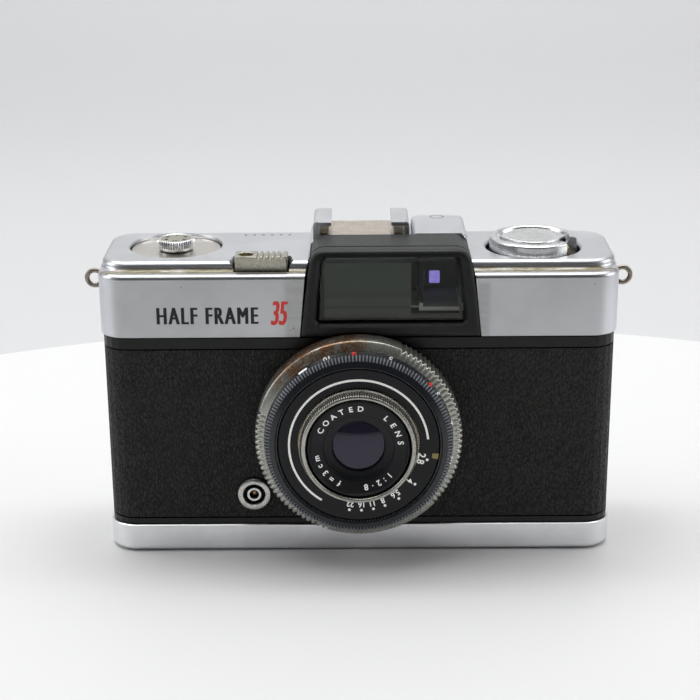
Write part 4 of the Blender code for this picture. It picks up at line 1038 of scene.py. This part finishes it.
# ------------------------------------------------------------------ cover lettering, generic wording
def fitted(text, x0, x1, z0, z1, y, depth=0.12, shear=0.0, spacing=1.0, bold=0.0):
    me = glyph(text, 5.0, depth, shear, spacing, bold)
    w = max(v.co.x for v in me.vertices) - min(v.co.x for v in me.vertices)
    h = max(v.co.y for v in me.vertices) - min(v.co.y for v in me.vertices)
    bpy.data.meshes.remove(me)
    return (text, 5.0, on_front((x0 + x1) / 2, y, (z0 + z1) / 2), (x1 - x0) * MM / w, (z1 - z0) * MM / h, {"depth": depth, "shear": shear, "spacing": spacing, "bold": bold})


lettering("cover_lettering", [fitted("HALF FRAME", -41.8 + d, -21.0 + d, 52.0, 55.6, YF + 0.08 + 0.003 * k, 0.1, 0.0, 1.28, 0.0) for k, d in enumerate((0.0, -0.1, 0.1, -0.19, 0.19))], "camera_body", "black_paint", "ink")
lettering("cover_number", number_row, "camera_body", "black_paint", "ink")
lettering("cover_red_mark", [fitted("35", -18.1 + d, -14.8 + d, 51.7, 56.9, YF + 0.08 + 0.003 * k, 0.1, 0.25, 1.0, 0.0) for k, d in enumerate((0.0, -0.1, 0.1, -0.2, 0.2))], "camera_body", "black_paint", "red")

# ------------------------------------------------------------------ stage, light, camera
def pale(name, v, rough=0.6):
    s = Mat(name, (v, v, v), rough)
    f = s.noise(0.004, 2)
    s.base(s.mix(s.fit(f, 0.3, 0.7), (v * 0.985, v * 0.985, v * 0.985), (v, v, v)))
    return s.m


M["floor"] = pale("stage_floor", 0.665)
wl = Mat("stage_wall", (0.69, 0.69, 0.69), 0.6)
# painted shade: the sweep's colour darkens towards the bottom
wl.base(wl.mix(wl.fit(wl.xyz()[2], -10, 170), (0.545, 0.548, 0.553), (0.79, 0.79, 0.79)))
M["wall"] = wl.m
TABLE = [(-106.2, 120.2), (102.3, 128.6), (0.0, 146.0)]
(xa, ya), (xb, yb), (xc, yc) = TABLE
dd = 2 * (xa * (yb - yc) + xb * (yc - ya) + xc * (ya - yb))
ux = ((xa ** 2 + ya ** 2) * (yb - yc) + (xb ** 2 + yb ** 2) * (yc - ya) + (xc ** 2 + yc ** 2) * (ya - yb)) / dd
uy = ((xa ** 2 + ya ** 2) * (xc - xb) + (xb ** 2 + yb ** 2) * (xa - xc) + (xc ** 2 + yc ** 2) * (xb - xa)) / dd
ur = math.hypot(xc - ux, yc - uy)
floor = turn("stage_table", [(0, -12.0), (ur - 1.5, -12.0), (ur, -10.5), (ur, -1.5), (ur - 1.5, -0.02), (0, -0.02)], "Z", (ux, uy), 256)
floor.data.materials.append(M["floor"])
floor.data.shade_smooth()
floor.data.set_sharp_from_angle(angle=math.radians(30))
sweep = []
for x in (-2500, 2500):
    prof = [(-1500, -14.0), (500, -14.0)] + [(500 + 350 * math.sin(math.radians(a)), -14.0 + 350 * (1 - math.cos(math.radians(a)))) for a in range(10, 91, 10)] + [(850, 1600)]
    sweep.append([(x, y, z) for y, z in prof + [(870, 1600), (870, -30), (-1500, -30)]])
lowfloor = loft("stage_sweep", sweep)
lowfloor.data.materials.append(M["wall"])
lowfloor.data.shade_smooth()
lowfloor.data.set_sharp_from_angle(angle=math.radians(30))

world = bpy.data.worlds.new("studio")
bpy.context.scene.world = world
world.use_nodes = True
bg = world.node_tree.nodes["Background"]
bg.inputs[0].default_value = (0.95, 0.962, 1.0, 1)
bg.inputs[1].default_value = 1.0
wt = world.node_tree
wc = wt.nodes.new("ShaderNodeTexCoord")
wsx = wt.nodes.new("ShaderNodeSeparateXYZ")
wm = wt.nodes.new("ShaderNodeMapRange")
wm.inputs["From Min"].default_value = -0.9
wm.inputs["From Max"].default_value = 0.8
wm.inputs["To Min"].default_value = 0.05
wm.inputs["To Max"].default_value = 0.62
wt.links.new(wc.outputs["Generated"], wsx.inputs[0])
wt.links.new(wsx.outputs[1], wm.inputs["Value"])
wt.links.new(wm.outputs[0], bg.inputs[1])


def area(name, loc, target, size, power, size_y=None, col=(1, 1, 1)):
    li = bpy.data.lights.new(name, "AREA")
    li.energy = power
    li.color = col
    li.shape = "RECTANGLE"
    li.size = size * MM
    li.size_y = (size_y or size) * MM
    o = bpy.data.objects.new(name, li)
    bpy.context.scene.collection.objects.link(o)
    o.location = Vector(loc) * MM
    o.rotation_euler = (Vector(target) * MM - o.location).to_track_quat("-Z", "Y").to_euler()
    return o


sun = bpy.data.lights.new("overhead", "SUN")
sun.energy = 1.05
sun.angle = math.radians(70)
so = bpy.data.objects.new("overhead", sun)
bpy.context.scene.collection.objects.link(so)
so.rotation_euler = (math.radians(-17), math.radians(-6), 0)
area("key_top", (-60, 120, 700), (0, 0, 30), 800, 3.0, 600)
area("wall_wash", (0, 250, 1150), (0, 870, 560), 1800, 8.5, 400)
area("fill_left", (-680, -60, 300), (0, 0, 30), 450, 1.3, 400)
area("fill_right", (680, -40, 300), (0, 0, 30), 450, 1.5, 400)

cam = bpy.data.cameras.new("camera")
cam.sensor_width = 36.0
cam.lens = 36.0 * 1645.77 / 700.0
cam.clip_start = 0.01
cam.clip_end = 20
co = bpy.data.objects.new("camera", cam)
bpy.context.scene.collection.objects.link(co)
th, ps, ro = 0.32819, -0.005826, -0.00758
F = Vector((math.sin(ps) * math.cos(th), math.cos(ps) * math.cos(th), -math.sin(th)))
Rt = Vector((math.cos(ps), -math.sin(ps), 0))
U = Rt.cross(F)
r2 = Rt * math.cos(ro) + U * math.sin(ro)
u2 = -Rt * math.sin(ro) + U * math.cos(ro)
m = Matrix.Identity(4)
for i, v in enumerate((r2, u2, -F)):
    m[0][i], m[1][i], m[2][i] = v
m.translation = Vector((0.05, -340.02, 157.02)) * MM
co.matrix_world = m
bpy.context.scene.camera = co
bpy.context.scene.view_settings.view_transform = "Standard"
